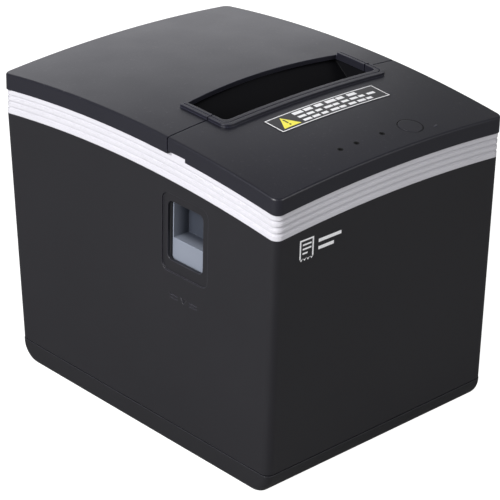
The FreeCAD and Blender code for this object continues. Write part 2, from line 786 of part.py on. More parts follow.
def cover_switch():
    """The microswitch that senses the closed lid."""
    case = box((switch_x - 3, switch_x + 3), (switch_y - 6, switch_y + 6), (deck_top, switch_top))
    return keep(case, "cover_switch")


# ---- Print mechanism: side plates, head, platen and its gear train ----

lean = (cosine(head_angle), sine(head_angle))
head_y = platen_back - (platen_radius + head_gap) * lean[0]
head_z = platen_up - (platen_radius + head_gap) * lean[1]
pivot_y = head_y - 3 * lean[0] + 20 * lean[1]
pivot_z = head_z - 3 * lean[1] - 20 * lean[0]
pivot_radius = 1.5
frame_top = cutter_up + 3.9
plate_top = platen_up + 6
platen_teeth = 18
idler_teeth = 30
pinion_teeth = 12
mesh_gap = 0.1
idler_reach = gear_module * (platen_teeth + idler_teeth) / 2 + mesh_gap
pinion_reach = gear_module * (idler_teeth + pinion_teeth) / 2 + mesh_gap
idler_way = -78.9
pinion_way = -25.9
idler_y = platen_back + idler_reach * cosine(idler_way)
idler_z = platen_up + idler_reach * sine(idler_way)
pinion_y = idler_y + pinion_reach * cosine(pinion_way)
pinion_z = idler_z + pinion_reach * sine(pinion_way)
bracket_in = gear_in + gear_width + 1


def side_plate(sign):
    """A steel side plate with an open slot for the platen's bush."""
    outline = [
        (cutter_back - 12, latch_up + 24), (cutter_back - 12, frame_top),
        (cutter_back + 18, frame_top), (cutter_back + 18, plate_top),
        (platen_back - bush_radius - 2.4, plate_top), (platen_back - bush_radius - slit, platen_up),
        (platen_back + bush_radius + slit, platen_up), (platen_back + bush_radius + slit, plate_top),
        (plate_back, plate_top), (plate_back, plate_foot), (bin_front + 2, plate_foot),
        (bin_front + 2, latch_up - 10), (latch_back - 12, latch_up - 10),
    ]
    span = beside(sign, plate_in, plate_in + sheet_steel)
    through = (span[0] - 1, span[1] + 1)
    name = "PlateRight" if sign > 0 else "PlateLeft"
    plate = plate_x(outline, span, name)
    tools = [
        rod_x(through, platen_back, platen_up, bush_radius + slit),
        rod_x(through, latch_back, latch_up, latch_radius + running),
        rod_x(through, cutter_back, cutter_up, 2 + running),
        rod_x(through, pivot_y, pivot_z, pivot_radius),
    ]
    return keep(cut(plate, *tools), "side_plate_right" if sign > 0 else "side_plate_left")


def spring_plate():
    """The cross plate that the print head's springs push against."""
    plate = box((lane - plate_in, lane + plate_in), (latch_back - 9.5, latch_back - 8),
                (latch_up + 6, latch_up + 22))
    holes = [rod_y(lane + 12 * step, (latch_back - 11, latch_back - 6), latch_up + 10, 1.6)
             for step in (-1, 1)]
    return keep(cut(plate, *holes), "spring_plate")


def head_pivot():
    """The rod that the print head tilts on."""
    reach = plate_in + sheet_steel
    return keep(rod_x((lane - reach, lane + reach), pivot_y, pivot_z, pivot_radius), "head_pivot")


def leaned(piece):
    """Move a piece from the head's own frame to its place against the platen."""
    turn = FreeCAD.Rotation(FreeCAD.Vector(1, 0, 0), float(head_angle))
    piece.Placement = FreeCAD.Placement(FreeCAD.Vector(), turn)
    places = {"Placement.Rotation.Angle": head_angle}
    places.update({"Placement.Base.x": lane, "Placement.Base.y": head_y, "Placement.Base.z": head_z})
    return bind(piece, places)


def heat_sink():
    """The print head's aluminium carrier, with cooling grooves and pivot lugs."""
    block = box((-40, 40), (-6, -1), (-16, 6))
    grooves = [box((-41, 41), (-7, -4), (low, low + 2)) for low in (-13, -8, -3)]
    lugs = [box(ends, (-6, 0), (-23, -15)) for ends in ((-40, -35), (35, 40))]
    bore = rod_x((-41, 41), -3, -20, pivot_radius + running)
    return keep(leaned(cut(fuse(cut(block, *grooves), *lugs), bore)), "heat_sink")


def print_head():
    """The ceramic thermal head with its raised heater line."""
    board = box((-38, 38), (-1, -0.25), (-9, 5))
    line = box((-36.5, 36.5), (-0.3, 0), (-0.6, 0.6))
    connector = box((-20, 20), (-1, 1.2), (-14, -10))
    return keep(leaned(fuse(board, line, connector)), "print_head")


def coil(start, turn, radius, wire, pitch, length):
    """A compression spring of round wire."""
    path = Part.makeHelix(pitch, length - wire, radius)
    circle = Part.makeCircle(wire / 2, FreeCAD.Vector(radius, 0, 0), FreeCAD.Vector(0, 1, 0))
    spring = Part.Wire(path.Edges).makePipeShell([Part.Wire([circle])], True, True)
    spring.translate(FreeCAD.Vector(0, 0, wire / 2))
    spring.Placement = FreeCAD.Placement(FreeCAD.Vector(*start), turn).multiply(spring.Placement)
    return spring


def head_springs():
    """Two springs that press the head to the platen."""
    turn = FreeCAD.Rotation(FreeCAD.Vector(1, 0, 0), -90)
    springs = []
    for step in (-26, 26):
        start = (float(lane) + step, float(latch_back) - 7.9, float(latch_up) + 14)
        springs.append(coil(start, turn, 3.0, 0.7, 1.5, 8.4))
    return keep(shaped(Part.makeCompound(springs), "HeadSprings"), "head_springs")


def tooth_outline(teeth, module, tooth_top, backlash, start):
    """The outline of a spur gear with involute flanks, as points round its axis."""
    pitch_radius = teeth * module / 2
    base = pitch_radius * math.cos(math.radians(20))
    tip = pitch_radius + tooth_top * module
    root = pitch_radius - 1.2 * module
    flat = math.tan(math.radians(20)) - math.radians(20)
    half = math.pi / (2 * teeth) - backlash / (2 * pitch_radius) + flat
    flank = [(root, half)] if root < base else []
    steps = 5
    for step in range(steps + 1):
        radius = max(base, root) + (tip - max(base, root)) * step / steps
        angle = math.acos(base / radius)
        flank.append((radius, half - (math.tan(angle) - angle)))
    points = []
    for tooth in range(teeth):
        middle = start + 2 * math.pi * tooth / teeth
        for radius, away in flank:
            points.append((radius, middle - away))
        for radius, away in reversed(flank):
            points.append((radius, middle + away))
    return [(radius * math.cos(angle), radius * math.sin(angle)) for radius, angle in points]


def gear(teeth, module, tooth_top, start, x, y, z):
    """A spur gear on an axis along X, between two places."""
    outline = tooth_outline(teeth, module, tooth_top, 0.12, start)
    corners = [FreeCAD.Vector(float(x[0]), float(y) + a, float(z) + b) for a, b in outline]
    face = Part.Face(Part.makePolygon(corners + corners[:1]))
    return face.extrude(FreeCAD.Vector(float(x[1]) - float(x[0]), 0, 0))


def mated(start, way, teeth, other_teeth):
    """The other gear's start angle, so that its gap meets a tooth of the first."""
    return way + math.pi + math.pi / other_teeth - teeth / other_teeth * (start - way)


platen_start = math.radians(idler_way)
idler_start = mated(platen_start, math.radians(idler_way), platen_teeth, idler_teeth)
pinion_start = mated(idler_start, math.radians(pinion_way), idler_teeth, pinion_teeth)
gear_x = beside(-1, gear_in, gear_in + gear_width)


def platen():
    """The rubber roller, its steel shaft and the gear on its left end."""
    shaft_x = (lane - gear_in - gear_width - 0.5, lane + plate_in + 1.8)
    keep(rod_x(shaft_x, platen_back, platen_up, shaft_radius), "platen_shaft")
    rubber_x = (lane - platen_half, lane + platen_half)
    rubber = rod_x(rubber_x, platen_back, platen_up, platen_radius)
    keep(cut(rubber, rod_x(shaft_x, platen_back, platen_up, shaft_radius)), "platen_rubber")
    teeth = shaped(gear(platen_teeth, float(gear_module), 0.8, platen_start, gear_x, platen_back,
                        platen_up), "PlatenTeeth")
    keep(cut(teeth, rod_x(shaft_x, platen_back, platen_up, shaft_radius)), "platen_gear")


def idler():
    """The middle gear of the train and the pin that it turns on."""
    teeth = shaped(gear(idler_teeth, float(gear_module), 0.8, idler_start, gear_x, idler_y, idler_z),
                   "IdlerTeeth")
    pin_x = beside(-1, plate_in + sheet_steel, bracket_in)
    keep(cut(teeth, rod_x(pin_x, idler_y, idler_z, 2 + running)), "idler_gear")
    keep(rod_x(pin_x, idler_y, idler_z, 2), "idler_pin")


motor_shaft = 1.0
motor_radius = 12.5
motor_x = (-half_body + wall + 2, lane - bracket_in - 1.2)


def feed_drive():
    """The paper feed motor with its pinion and the bracket that carries them."""
    teeth = shaped(gear(pinion_teeth, float(gear_module), 0.8, pinion_start, gear_x, pinion_y,
                        pinion_z), "PinionTeeth")
    spindle = rod_x((motor_x[1] - 4, gear_x[1]), pinion_y, pinion_z, motor_shaft)
    keep(fuse(teeth, spindle), "motor_pinion")
    can = rod_x(motor_x, pinion_y, pinion_z, motor_radius)
    ears = box((motor_x[1] - 1.2, motor_x[1]), (pinion_y - 16, pinion_y + 16), (pinion_z - 4, pinion_z + 4))
    socket = rod_x((motor_x[1] - 5, motor_x[1] + 1), pinion_y, pinion_z, motor_shaft + running)
    keep(cut(fuse(can, ears), socket), "feed_motor")
    plate_span = (motor_x[1], lane - bracket_in)
    plate = box(plate_span, (pinion_y - 19, pinion_y + 16), (latch_up - 10, idler_z + 8))
    hole = rod_x((plate_span[0] - 1, plate_span[1] + 1), pinion_y, pinion_z, motor_shaft + 1)
    keep(cut(plate, hole), "motor_bracket")
    spacer_x = beside(-1, plate_in + sheet_steel, bracket_in)
    places = ((pinion_y - 16, latch_up - 7), (plate_back - 3, latch_up - 7), (plate_back - 3, idler_z + 5))
    keep(group(*[rod_x(spacer_x, y, z, 2.5) for y, z in places]), "bracket_spacers")


def platen_bushes():
    """The two bushes on the lid that the platen shaft runs in."""
    bushes = []
    for sign in (-1, 1):
        span = beside(sign, plate_in - 3.3, plate_in + 1.2)
        bore = rod_x((span[0] - 1, span[1] + 1), platen_back, platen_up, shaft_radius + running)
        bushes.append(cut(rod_x(span, platen_back, platen_up, bush_radius), bore))
    return keep(group(*bushes), "platen_bushes")


def platen_carrier():
    """The lid's inner frame: two cheeks that hold the bushes, and a cross beam."""
    outline = [
        (platen_back - 4.5, platen_up - 4), (platen_back + 4.5, platen_up - 4),
        (platen_back + 10, platen_up + 10), (platen_back + 28, platen_up + 22),
        (platen_back + 28, platen_up + 40), (platen_back + 20, platen_up + 40),
        (platen_back + 20, platen_up + 30.3), (platen_back - 4, platen_up + 12.8),
        (platen_back - 4, platen_up + 8),
    ]
    cheeks = []
    for sign in (-1, 1):
        span = beside(sign, platen_half + slit, plate_in - 3.3)
        through = (span[0] - 1, span[1] + 1)
        cheek = plate_x(outline, span, "CheekRight" if sign > 0 else "CheekLeft")
        cheeks.append(cut(cheek, rod_x(through, platen_back, platen_up, shaft_radius + slit)))
    reach = platen_half + slit + 0.7
    beam = box((lane - reach, lane + reach), (platen_back - 4, platen_back + 10),
               (platen_up + 11.8, platen_up + 13))
    back = box((lane - reach, lane + reach), (platen_back + 24, platen_back + 26),
               (platen_up + 22, platen_up + 40))
    ramp = box((lane - reach, lane + reach), (platen_back + 8, platen_back + 10),
               (platen_up + 11, platen_up + 18))
    return keep(common(fuse(*cheeks, beam, back, ramp), dome_inside), "platen_carrier")


def fixed_blade():
    """The cutter's fixed blade under the lid's beam."""
    reach = platen_half + slit - 0.1
    edge = platen_back - 8.5
    outline = [
        (edge, platen_up + 11.8), (edge, platen_up + 11.4), (edge + 2, platen_up + 10.6),
        (platen_back + 3, platen_up + 10.6), (platen_back + 3, platen_up + 11.8),
    ]
    return keep(plate_x(outline, (lane - reach, lane + reach), "FixedBlade"), "fixed_blade")


def exit_chute():
    """The glossy slope inside the paper mouth, with a wall at each end."""
    low_end = (platen_back - 3.8, platen_up + 14)
    outline = [
        low_end, (platen_back + 18.5, platen_up + 31.4), (platen_back + 18.5, platen_up + 40),
        (platen_back + 15, platen_up + 40), (platen_back + 15, platen_up + 30.6),
        (platen_back - 3.8, platen_up + 16),
    ]
    slope = plate_x(outline, (mouth_left - 1, mouth_right + 1), "Slope")
    ends = []
    for span in ((mouth_left - 2.5, mouth_left - 1), (mouth_right + 1, mouth_right + 2.5)):
        ends.append(box(span, (-lid_front + 0.6, platen_back + 18.5), (platen_up + 14, platen_up + 40)))
    return keep(common(fuse(slope, *ends), dome_inside), "exit_chute")


# ---- Cutter ----

rack_module = cutter_pitch / 5
rack_pitch = rack_module * math.pi
blade_low = cutter_up + 5.3
blade_half = plate_in - 2
cutter_reach = (36, 39)


def rack(sign):
    """A toothed rack under the moving blade."""
    module = float(rack_module)
    step = float(rack_pitch)
    middle = float(cutter_up) + float(cutter_pitch) + 0.1
    up = float(blade_low) + 0.2
    slope = math.tan(math.radians(20))
    half = step / 4 - 0.06
    rack_margin = 0.4
    tip = middle - 0.7 * module
    root = middle + 1.1 * module
    outline = []
    for tooth in range(-3, 2):
        centre = float(cutter_back) + (tooth + 0.5) * step
        wide = half + (root - middle) * slope
        narrow = half - (middle - tip) * slope
        outline += [(centre - wide, root), (centre - narrow, tip), (centre + narrow, tip),
                    (centre + wide, root)]
    last = outline[-1][0] + rack_margin
    first = outline[0][0] - rack_margin
    outline = [(first, root)] + outline + [(last, root), (last, up), (first, up)]
    span = beside(sign, *cutter_reach)
    corners = [FreeCAD.Vector(float(span[0]), y, z) for y, z in outline]
    face = Part.Face(Part.makePolygon(corners + corners[:1]))
    return shaped(face.extrude(FreeCAD.Vector(float(span[1]) - float(span[0]), 0, 0)), "Rack")


def moving_blade():
    """The steel blade with its V-shaped edge and a rack at each side."""
    outline = [
        (lane - blade_half, cutter_back - 8), (lane + blade_half, cutter_back - 8),
        (lane + blade_half, cutter_back + 19.5), (lane, cutter_back + 16.5),
        (lane - blade_half, cutter_back + 19.5),
    ]
    blade = plate_z(outline, (blade_low, blade_low + blade_thick), "Blade")
    slots = [box(beside(sign, 20, 30), (cutter_back - 2, cutter_back + 3), (blade_low - 1, blade_low + 2))
             for sign in (-1, 1)]
    return keep(fuse(cut(blade, *slots), rack(-1), rack(1)), "moving_blade")


def cutter_frame():
    """The steel frame over the print head that the moving blade slides on."""
    reach = plate_in + sheet_steel
    thick = (frame_top, frame_top + 1.2)
    through = (frame_top - 1, frame_top + 3)
    plate = box((lane - reach, lane + reach), (cutter_back - 12, cutter_back + 18), thick)
    rails = [box(beside(sign, blade_half + slit, reach), (cutter_back - 12, cutter_back + 18),
                 (frame_top, frame_top + 3)) for sign in (-1, 1)]
    slots = [box(beside(sign, cutter_reach[0] - slit, cutter_reach[1] + slit),
                 (cutter_back - 10.5, cutter_back + 16), through) for sign in (-1, 1)]
    middle = box((lane - 30, lane + 30), (cutter_back - 8, cutter_back + 10), through)
    return keep(cut(fuse(plate, *rails), *slots, middle), "cutter_frame")


def cutter_drive():
    """The cross shaft with its two pinions, and the geared motor that turns it."""
    shaft_x = (lane - plate_in - 2.5, lane + plate_in + 9)
    shaft = rod_x(shaft_x, cutter_back, cutter_up, 2)
    pinions = []
    for sign in (-1, 1):
        span = beside(sign, cutter_reach[0] + 0.2, cutter_reach[1] - 0.2)
        pinions.append(shaped(gear(10, float(rack_module), 0.7, math.pi / 2, span, cutter_back,
                                   cutter_up), "CutterPinion"))
    keep(fuse(shaft, *pinions), "cutter_shaft")
    case_x = (lane + plate_in + 3, half_body - wall - 1)
    case = rod_x(case_x, cutter_back, cutter_up, 9)
    foot = box((case_x[0], case_x[0] + 6), (cutter_back - 8, cutter_back + 8), (cutter_up - 13, cutter_up))
    socket = rod_x((case_x[0] - 1, case_x[0] + 7), cutter_back, cutter_up, 2 + running)
    tabs = [box((lane + plate_in + sheet_steel, case_x[0] + 1), (y, y + 3), (cutter_up - 12, cutter_up - 6))
            for y in (cutter_back - 7, cutter_back + 4)]
    keep(cut(fuse(case, foot, *tabs), socket), "cutter_motor")


# ---- Release button and latch ----

release_x = (-half_body + wall + 1, -half_body + 15.1)
release_y = (window_front + 0.6, window_back - 0.6)
release_low = window_low - 5.5
release_high = window_high + 4
crank_y = latch_back - crank_reach
crank_pin = 1.5
scoop_wall = 0.6
arm_x = (release_x[1] + 1, release_x[1] + 3)


def release_button():
    """The sliding lid release: a block with a ledge under a deep finger scoop."""
    block = box(release_x, release_y, (release_low, ledge_up))
    back = box((release_x[1] - 2.5, release_x[1]), release_y, (ledge_up - 1, release_high))
    sides = [box(release_x, (release_y[0], release_y[0] + scoop_wall), (ledge_up - 1, release_high)),
             box(release_x, (release_y[1] - scoop_wall, release_y[1]), (ledge_up - 1, release_high))]
    roof = box(release_x, release_y, (release_high - 1.5, release_high))
    slot = box((release_x[1] - 4, release_x[1] + 1), (crank_y - 2, crank_y + 2.4),
               (latch_up - crank_pin - 0.1, latch_up + crank_pin + 0.1))
    return keep(cut(fuse(block, back, roof, *sides), slot), "release_button")


def release_guide():
    """The rails behind the window that the release button slides in."""
    rail_x = (-half_body + wall, release_x[1] + 0.5)
    rail_z = (release_low - 10, release_high + 2)
    back_x = (release_x[1] + 0.5, release_x[1] + 2)
    whole_y = (release_y[0] - 2.4, release_y[1] + 2.4)
    rails = [box((rail_x[0], back_x[1]), (whole_y[0], release_y[0] - slit), rail_z),
             box((rail_x[0], back_x[1]), (release_y[1] + slit, whole_y[1]), rail_z)]
    floor = box((rail_x[0], back_x[1]), whole_y, rail_z[:1] + (release_low - 8,))
    back = box(back_x, whole_y, (window_high - 8, rail_z[1]))
    return keep(fuse(*rails, floor, back), "release_guide")


def release_spring():
    """The spring that lifts the release button."""
    start = (float(release_x[0] + release_x[1]) / 2, float(release_y[0] + release_y[1]) / 2,
             float(release_low) - 7.9)
    return keep(shaped(coil(start, FreeCAD.Rotation(), 3.2, 0.7, 1.5, 7.8), "ReleaseSpring"),
                "release_spring")


def latch():
    """The cross shaft with a hook at each end of the platen and the crank arm."""
    reach = plate_in + sheet_steel + 0.5
    keep(rod_x((release_x[1] + 1, lane + reach), latch_back, latch_up, latch_radius), "latch_shaft")
    outline = [
        (latch_back - 2.5, latch_up), (latch_back + 2.5, latch_up), (latch_back + 1.8, latch_up + 24),
        (latch_back + 2.4, latch_up + 27.5), (platen_back - 5.7, latch_up + 28.5),
        (platen_back - 5.7, latch_up + 31), (latch_back + 1, latch_up + 32.5),
        (latch_back - 1.8, latch_up + 30),
    ]
    hooks = []
    for sign in (-1, 1):
        span = beside(sign, plate_in - 2.6, plate_in - 0.6)
        arm = plate_x(outline, span, "HookRight" if sign > 0 else "HookLeft")
        boss = rod_x(span, latch_back, latch_up, latch_radius + 2.5)
        bore = rod_x((span[0] - 1, span[1] + 1), latch_back, latch_up, latch_radius)
        hooks.append(cut(fuse(arm, boss), bore))
    keep(group(*hooks), "latch_hooks")
    arm = box(arm_x, (crank_y, latch_back), (latch_up - 2, latch_up + 2))
    bosses = fuse(rod_x(arm_x, latch_back, latch_up, latch_radius + 0.8),
                  rod_x(arm_x, crank_y, latch_up, 2.5))
    pin = rod_x((release_x[1] - 3.5, arm_x[1]), crank_y, latch_up, crank_pin)
    bore = rod_x((arm_x[0] - 1, arm_x[1] + 1), latch_back, latch_up, latch_radius)
    keep(cut(fuse(arm, bosses, pin), bore), "latch_crank")


# ---- Control panel under the front cover ----

panel_low = cap_top - 7.6
panel_thick = 1.6


def control_panel():
    """The small board with the feed switch and light pipes, and the feed button."""
    board = box((-30, 36), (button_y - 7.7, button_y + 12.3), (panel_low, panel_low + panel_thick))
    keep(board, "panel_board")
    top = panel_low + panel_thick
    case = box((button_x - 3, button_x + 3), (button_y - 3, button_y + 3), (top, top + 3.5))
    plunger = rod_z(button_x, button_y, (top + 3, top + 3.9), 1.75)
    keep(fuse(case, plunger), "feed_switch")
    disc = rod_z(button_x, button_y, (top + 6.6, top + 20), button_radius)
    flange = rod_z(button_x, button_y, (top + 6.2, top + 7.2), button_radius + 1.4)
    stem = rod_z(button_x, button_y, (top + 4.8, top + 7), 2)
    keep(common(fuse(disc, flange, stem), dome_outside), "feed_button")
    lamp_dome = shaped(under_dome(cap_top - lamp_sunk), "LampDome")
    pipes = [common(rod_z(x, lamp_y, (top + 0.8, top + 20), lamp_radius), lamp_dome) for x in lamp_xs]
    keep(group(*pipes), "light_pipes")


# ---- Electronics and connectors ----

board_thick = 1.6
board_top = board_low + board_thick
board_x = (-58, 58)
board_y = (-80, low_back - 8)
panel_y = (low_back - 6, low_back - 4.5)
port_front = low_back - 3.5


def main_board():
    """The main circuit board on four posts in the tray."""
    plate = box(board_x, board_y, (board_low, board_top))
    keep(plate, "main_board")
    places = [(x, y) for x in (-52, 52) for y in (-72, board_y[1] - 9)]
    posts = [rod_z(x, y, (foot_height + wall, board_low), 3) for x, y in places]
    keep(group(*posts), "board_posts")
    chips = [
        box((-30, -14), (-60, -44), (board_top, board_top + 1.8)),
        box((0, 12), (-62, -50), (board_top, board_top + 1.5)),
        box((24, 44), (-30, -22), (board_top, board_top + 6)),
        box((-50, -42), (-30, 4), (board_top, board_top + 7)),
    ]
    cans = [rod_z(x, -68, (board_top, board_top + 14), 5) for x in (26, 39, 52)]
    keep(group(*chips, *cans), "board_parts")


def socket(label, x, z, depth, hole_x, hole_z, hole_depth, *inside):
    """A connector on the board whose face stands a little out of the rear panel."""
    case = box(x, (port_front - depth, port_front), z)
    hole = box(hole_x, (port_front - hole_depth, port_front + 1), hole_z)
    hollow = cut(case, hole)
    return keep(fuse(hollow, *inside) if inside else hollow, label)


def sockets():
    """The interface sockets along the bottom of the rear panel."""
    base = board_top
    socket("lan_socket", (-10, 6), (base, base + 13.5), 20, (-8, 4), (base + 2.4, base + 10.4), 13)
    socket("drawer_socket", (-34, -20), (base, base + 13.5), 18, (-32, -22), (base + 2.4, base + 9.4), 13)
    tongue = box((17.2, 22.8), (port_front - 10, port_front - 1), (base + 4.4, base + 6.6))
    socket("usb_socket", (14, 26), (base, base + 11), 16, (15.8, 24.2), (base + 1.6, base + 9.4), 9, tongue)
    case = box((38, 52), (port_front - 15, port_front), (base, base + 13.4))
    keep(cut(case, rod_y(45, (port_front - 10, port_front + 1), base + 6.7, 5)), "dc_socket")


rocker_y = port_front - 3
rocker_z = board_top + 17
rocker_x = (-50.9, -43.1)


def turned(y, z, angle):
    """A place on the rocker's outline, turned about its pivot."""
    return (rocker_y + y * cosine(angle) - z * sine(angle), rocker_z + y * sine(angle) + z * cosine(angle))


def power_switch():
    """The rocker switch at the left of the rear panel."""
    outer = box((-53, -41), (port_front - 10, port_front), (rocker_z - 10, rocker_z + 10))
    well = box((-51.2, -42.8), (port_front - 8.5, port_front + 1), (rocker_z - 8, rocker_z + 8))
    pin_x = (-52.4, -41.6)
    pin_hole = rod_x(pin_x, rocker_y, rocker_z, 1.2 + running)
    keep(cut(outer, well, pin_hole), "switch_housing")
    rest = -rocker_swing / 2
    faces = ((4.2, -6.6), (3, 0), (4.2, 6.6), (-2, 3), (-2, -3))
    outline = [turned(y, z, rest) for y, z in faces]
    pin = rod_x((pin_x[0] + 0.1, pin_x[1] - 0.1), rocker_y, rocker_z, 1.2)
    keep(fuse(plate_x(outline, rocker_x, "Rocker"), pin), "power_rocker")


def rear_panel():
    """The recessed rear panel with a cut-out for each socket and the switch."""
    panel = box(inward(port_x, seat_gap), panel_y, inward(port_z, seat_gap))
    base = board_top
    gap = seat_gap
    through = (panel_y[0] - 1, panel_y[1] + 1)
    tools = []
    for left, right, tall in ((-10, 6, 13.5), (-34, -20, 13.5), (14, 26, 11), (38, 52, 13.4)):
        tools.append(box((left - gap, right + gap), through, (base - gap, base + tall + gap)))
    tools.append(box((-53 - gap, -41 + gap), through, (rocker_z - 10 - gap, rocker_z + 10 + gap)))
    return keep(cut(panel, *tools), "rear_panel")


paper_bin()
top_deck()
paper_sensor()
cover_switch()
side_plate(-1)
side_plate(1)
spring_plate()
head_pivot()
heat_sink()
print_head()
head_springs()
platen()
idler()
feed_drive()
platen_bushes()
platen_carrier()
fixed_blade()
exit_chute()
moving_blade()
cutter_frame()
cutter_drive()
release_button()
release_guide()
release_spring()
latch()
control_panel()
main_board()
sockets()
power_switch()
rear_panel()
base_tray()
rubber_feet()
base_screws()
body_shell()
trim_band()
cap_outer = hollow_cap()
mouth_lip = mouth_rim()
front_cover(cap_outer, mouth_lip)
notice_label()
lid_shell(cap_outer, mouth_lip)
hinge_lugs()
hinge_pins()


# ---- Check every object, then write one file for each sub-part ----

doc.recompute()
for item in doc.Objects:
    if "Invalid" in item.State or "Error" in item.State:
        raise RuntimeError(f"{item.Name} ({item.Label}) did not recompute: {item.State}")
for piece in subparts:
    if piece.Shape.isNull() or not piece.Shape.isValid():
        raise RuntimeError(f"{piece.Label} is not a valid shape")
os.makedirs("parts", exist_ok=True)
for piece in subparts:
    piece.Shape.exportStep(f"parts/{piece.Label}.step")
print(len(subparts), "sub-parts written")
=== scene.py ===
import math

import bmesh
import bpy
from mathutils import Matrix, Vector


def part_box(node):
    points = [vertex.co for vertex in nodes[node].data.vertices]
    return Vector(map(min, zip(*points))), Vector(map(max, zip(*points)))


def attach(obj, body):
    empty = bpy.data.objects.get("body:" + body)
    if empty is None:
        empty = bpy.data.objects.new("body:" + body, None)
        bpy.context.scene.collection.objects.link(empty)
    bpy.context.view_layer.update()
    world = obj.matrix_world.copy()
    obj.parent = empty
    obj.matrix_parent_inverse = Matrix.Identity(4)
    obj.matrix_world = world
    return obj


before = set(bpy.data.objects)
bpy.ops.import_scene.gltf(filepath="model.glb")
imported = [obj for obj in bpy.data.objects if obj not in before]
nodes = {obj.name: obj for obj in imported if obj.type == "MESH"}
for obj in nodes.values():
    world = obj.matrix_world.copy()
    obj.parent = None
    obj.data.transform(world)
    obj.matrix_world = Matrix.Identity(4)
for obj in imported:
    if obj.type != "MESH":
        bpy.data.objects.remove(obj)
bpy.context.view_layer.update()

# ---- Camera and light ----
# A long lens from the front left and above, in a white studio: a strong soft
# light at the left, weaker ones in front and behind, and a white surround.

target = Vector((0, 0, 0.075))
azimuth, elevation, roll = math.radians(-43.68), math.radians(26.19), math.radians(1.48)
shift_right, shift_up, distance = -0.00197, 0.00453, 1.1621
back = Vector((math.sin(azimuth) * math.cos(elevation), -math.cos(azimuth) * math.cos(elevation),
               math.sin(elevation)))
level = Vector((0, 0, 1)).cross(back).normalized()
upright = back.cross(level)
right = level * math.cos(roll) + upright * math.sin(roll)
up = upright * math.cos(roll) - level * math.sin(roll)
lens = bpy.data.cameras.new("Camera")
lens.lens = 172.9
lens.sensor_width = 36
lens.clip_start, lens.clip_end = 0.05, 20
camera = bpy.data.objects.new("Camera", lens)
turn = Matrix((right, up, back)).transposed().to_4x4()
place = target - right * shift_right - up * shift_up + back * distance
camera.matrix_world = Matrix.Translation(place) @ turn
bpy.context.scene.collection.objects.link(camera)
bpy.context.scene.camera = camera


def add_light(name, place, aim, size, power, colour=(1, 1, 1)):
    """A square softbox that points at a place on the printer."""
    data = bpy.data.lights.new(name, "AREA")
    data.shape = "SQUARE"
    data.size = size
    data.energy = power
    data.color = colour
    light = bpy.data.objects.new(name, data)
    way = (Vector(aim) - Vector(place)).normalized()
    turned = way.to_track_quat("-Z", "Y").to_matrix().to_4x4()
    light.matrix_world = Matrix.Translation(place) @ turned
    bpy.context.scene.collection.objects.link(light)


add_light("back_light", (0.75, 1.15, 0.5), (0, 0.05, 0.155), 0.9, 2.6, (0.94, 0.94, 1))
add_light("left_light", (-1.25, -0.1, 0.75), (-0.07, 0, 0.06), 0.8, 31)
add_light("front_light", (0.5, -1.4, 0.6), (0, -0.09, 0.08), 0.7, 8.5)


def seen_or_lit(tree, seen, lit):
    """A strength that is one number to the camera and another to everything else."""
    sight = tree.nodes.new("ShaderNodeLightPath").outputs["Is Camera Ray"]
    share = tree.nodes.new("ShaderNodeMapRange")
    share.inputs["To Min"].default_value = lit
    share.inputs["To Max"].default_value = seen
    tree.links.new(sight, share.inputs["Value"])
    return share.outputs["Result"]


world = bpy.data.worlds.new("Studio")
bpy.context.scene.world = world
world.use_nodes = True
surround = world.node_tree.nodes["Background"].inputs
surround["Color"].default_value = (1, 1, 1, 1)
world.node_tree.links.new(seen_or_lit(world.node_tree, 1, 0.25), surround["Strength"])
bpy.context.scene.view_settings.view_transform = "Standard"

# ---- Floor ----
# A plain pale studio floor, a hair below the feet. To the camera it is plain
# white, and to the printer it only gives back a little of the light.

floor_gap = 0.0003
floor_mesh = bmesh.new()
bmesh.ops.create_grid(floor_mesh, x_segments=1, y_segments=1, size=6)
floor_data = bpy.data.meshes.new("studio_floor")
floor_mesh.to_mesh(floor_data)
floor_mesh.free()
floor = bpy.data.objects.new("studio_floor", floor_data)
floor.location.z = -floor_gap
bpy.context.scene.collection.objects.link(floor)
floor_paint = bpy.data.materials.new("studio_paper")
floor_paint.use_nodes = True
glow = floor_paint.node_tree.nodes["Principled BSDF"].inputs
glow["Base Color"].default_value = (0.24, 0.24, 0.24, 1)
glow["Roughness"].default_value = 0.9
glow["Emission Color"].default_value = (1, 1, 1, 1)
floor_paint.node_tree.links.new(seen_or_lit(floor_paint.node_tree, 1, 0), glow["Emission Strength"])
floor_data.materials.append(floor_paint)

# ---- Black housing ----
# The body shell and the base tray are injection-moulded ABS with a fine spark
# grain. The grain, the soft moulded edges and the faint dust are shared groups.

moulded_edge = 0.0004


def shader_group(name, inputs, outputs):
    """An empty shader group with number inputs and the outputs that are named."""
    tree = bpy.data.node_groups.new(name, "ShaderNodeTree")
    for label, value in inputs.items():
        socket = tree.interface.new_socket(label, in_out="INPUT", socket_type="NodeSocketFloat")
        socket.default_value = value
    for label, kind in outputs.items():
        tree.interface.new_socket(label, in_out="OUTPUT", socket_type=kind)
    return tree, tree.nodes.new("NodeGroupInput").outputs, tree.nodes.new("NodeGroupOutput").inputs


def add_math(tree, operation, first, second):
    """A Math node with two inputs, each a socket or a number."""
    node = tree.nodes.new("ShaderNodeMath")
    node.operation = operation
    for index, value in enumerate((first, second)):
        if isinstance(value, (int, float)):
            node.inputs[index].default_value = value
        else:
            tree.links.new(value, node.inputs[index])
    return node.outputs[0]


def add_noise(tree, vector, scale, detail):
    """A Noise texture read on a vector, whose scale is a socket or a number."""
    node = tree.nodes.new("ShaderNodeTexNoise")
    node.inputs["Detail"].default_value = detail
    tree.links.new(vector, node.inputs["Vector"])
    if isinstance(scale, (int, float)):
        node.inputs["Scale"].default_value = scale
    else:
        tree.links.new(scale, node.inputs["Scale"])
    return node.outputs["Fac"]


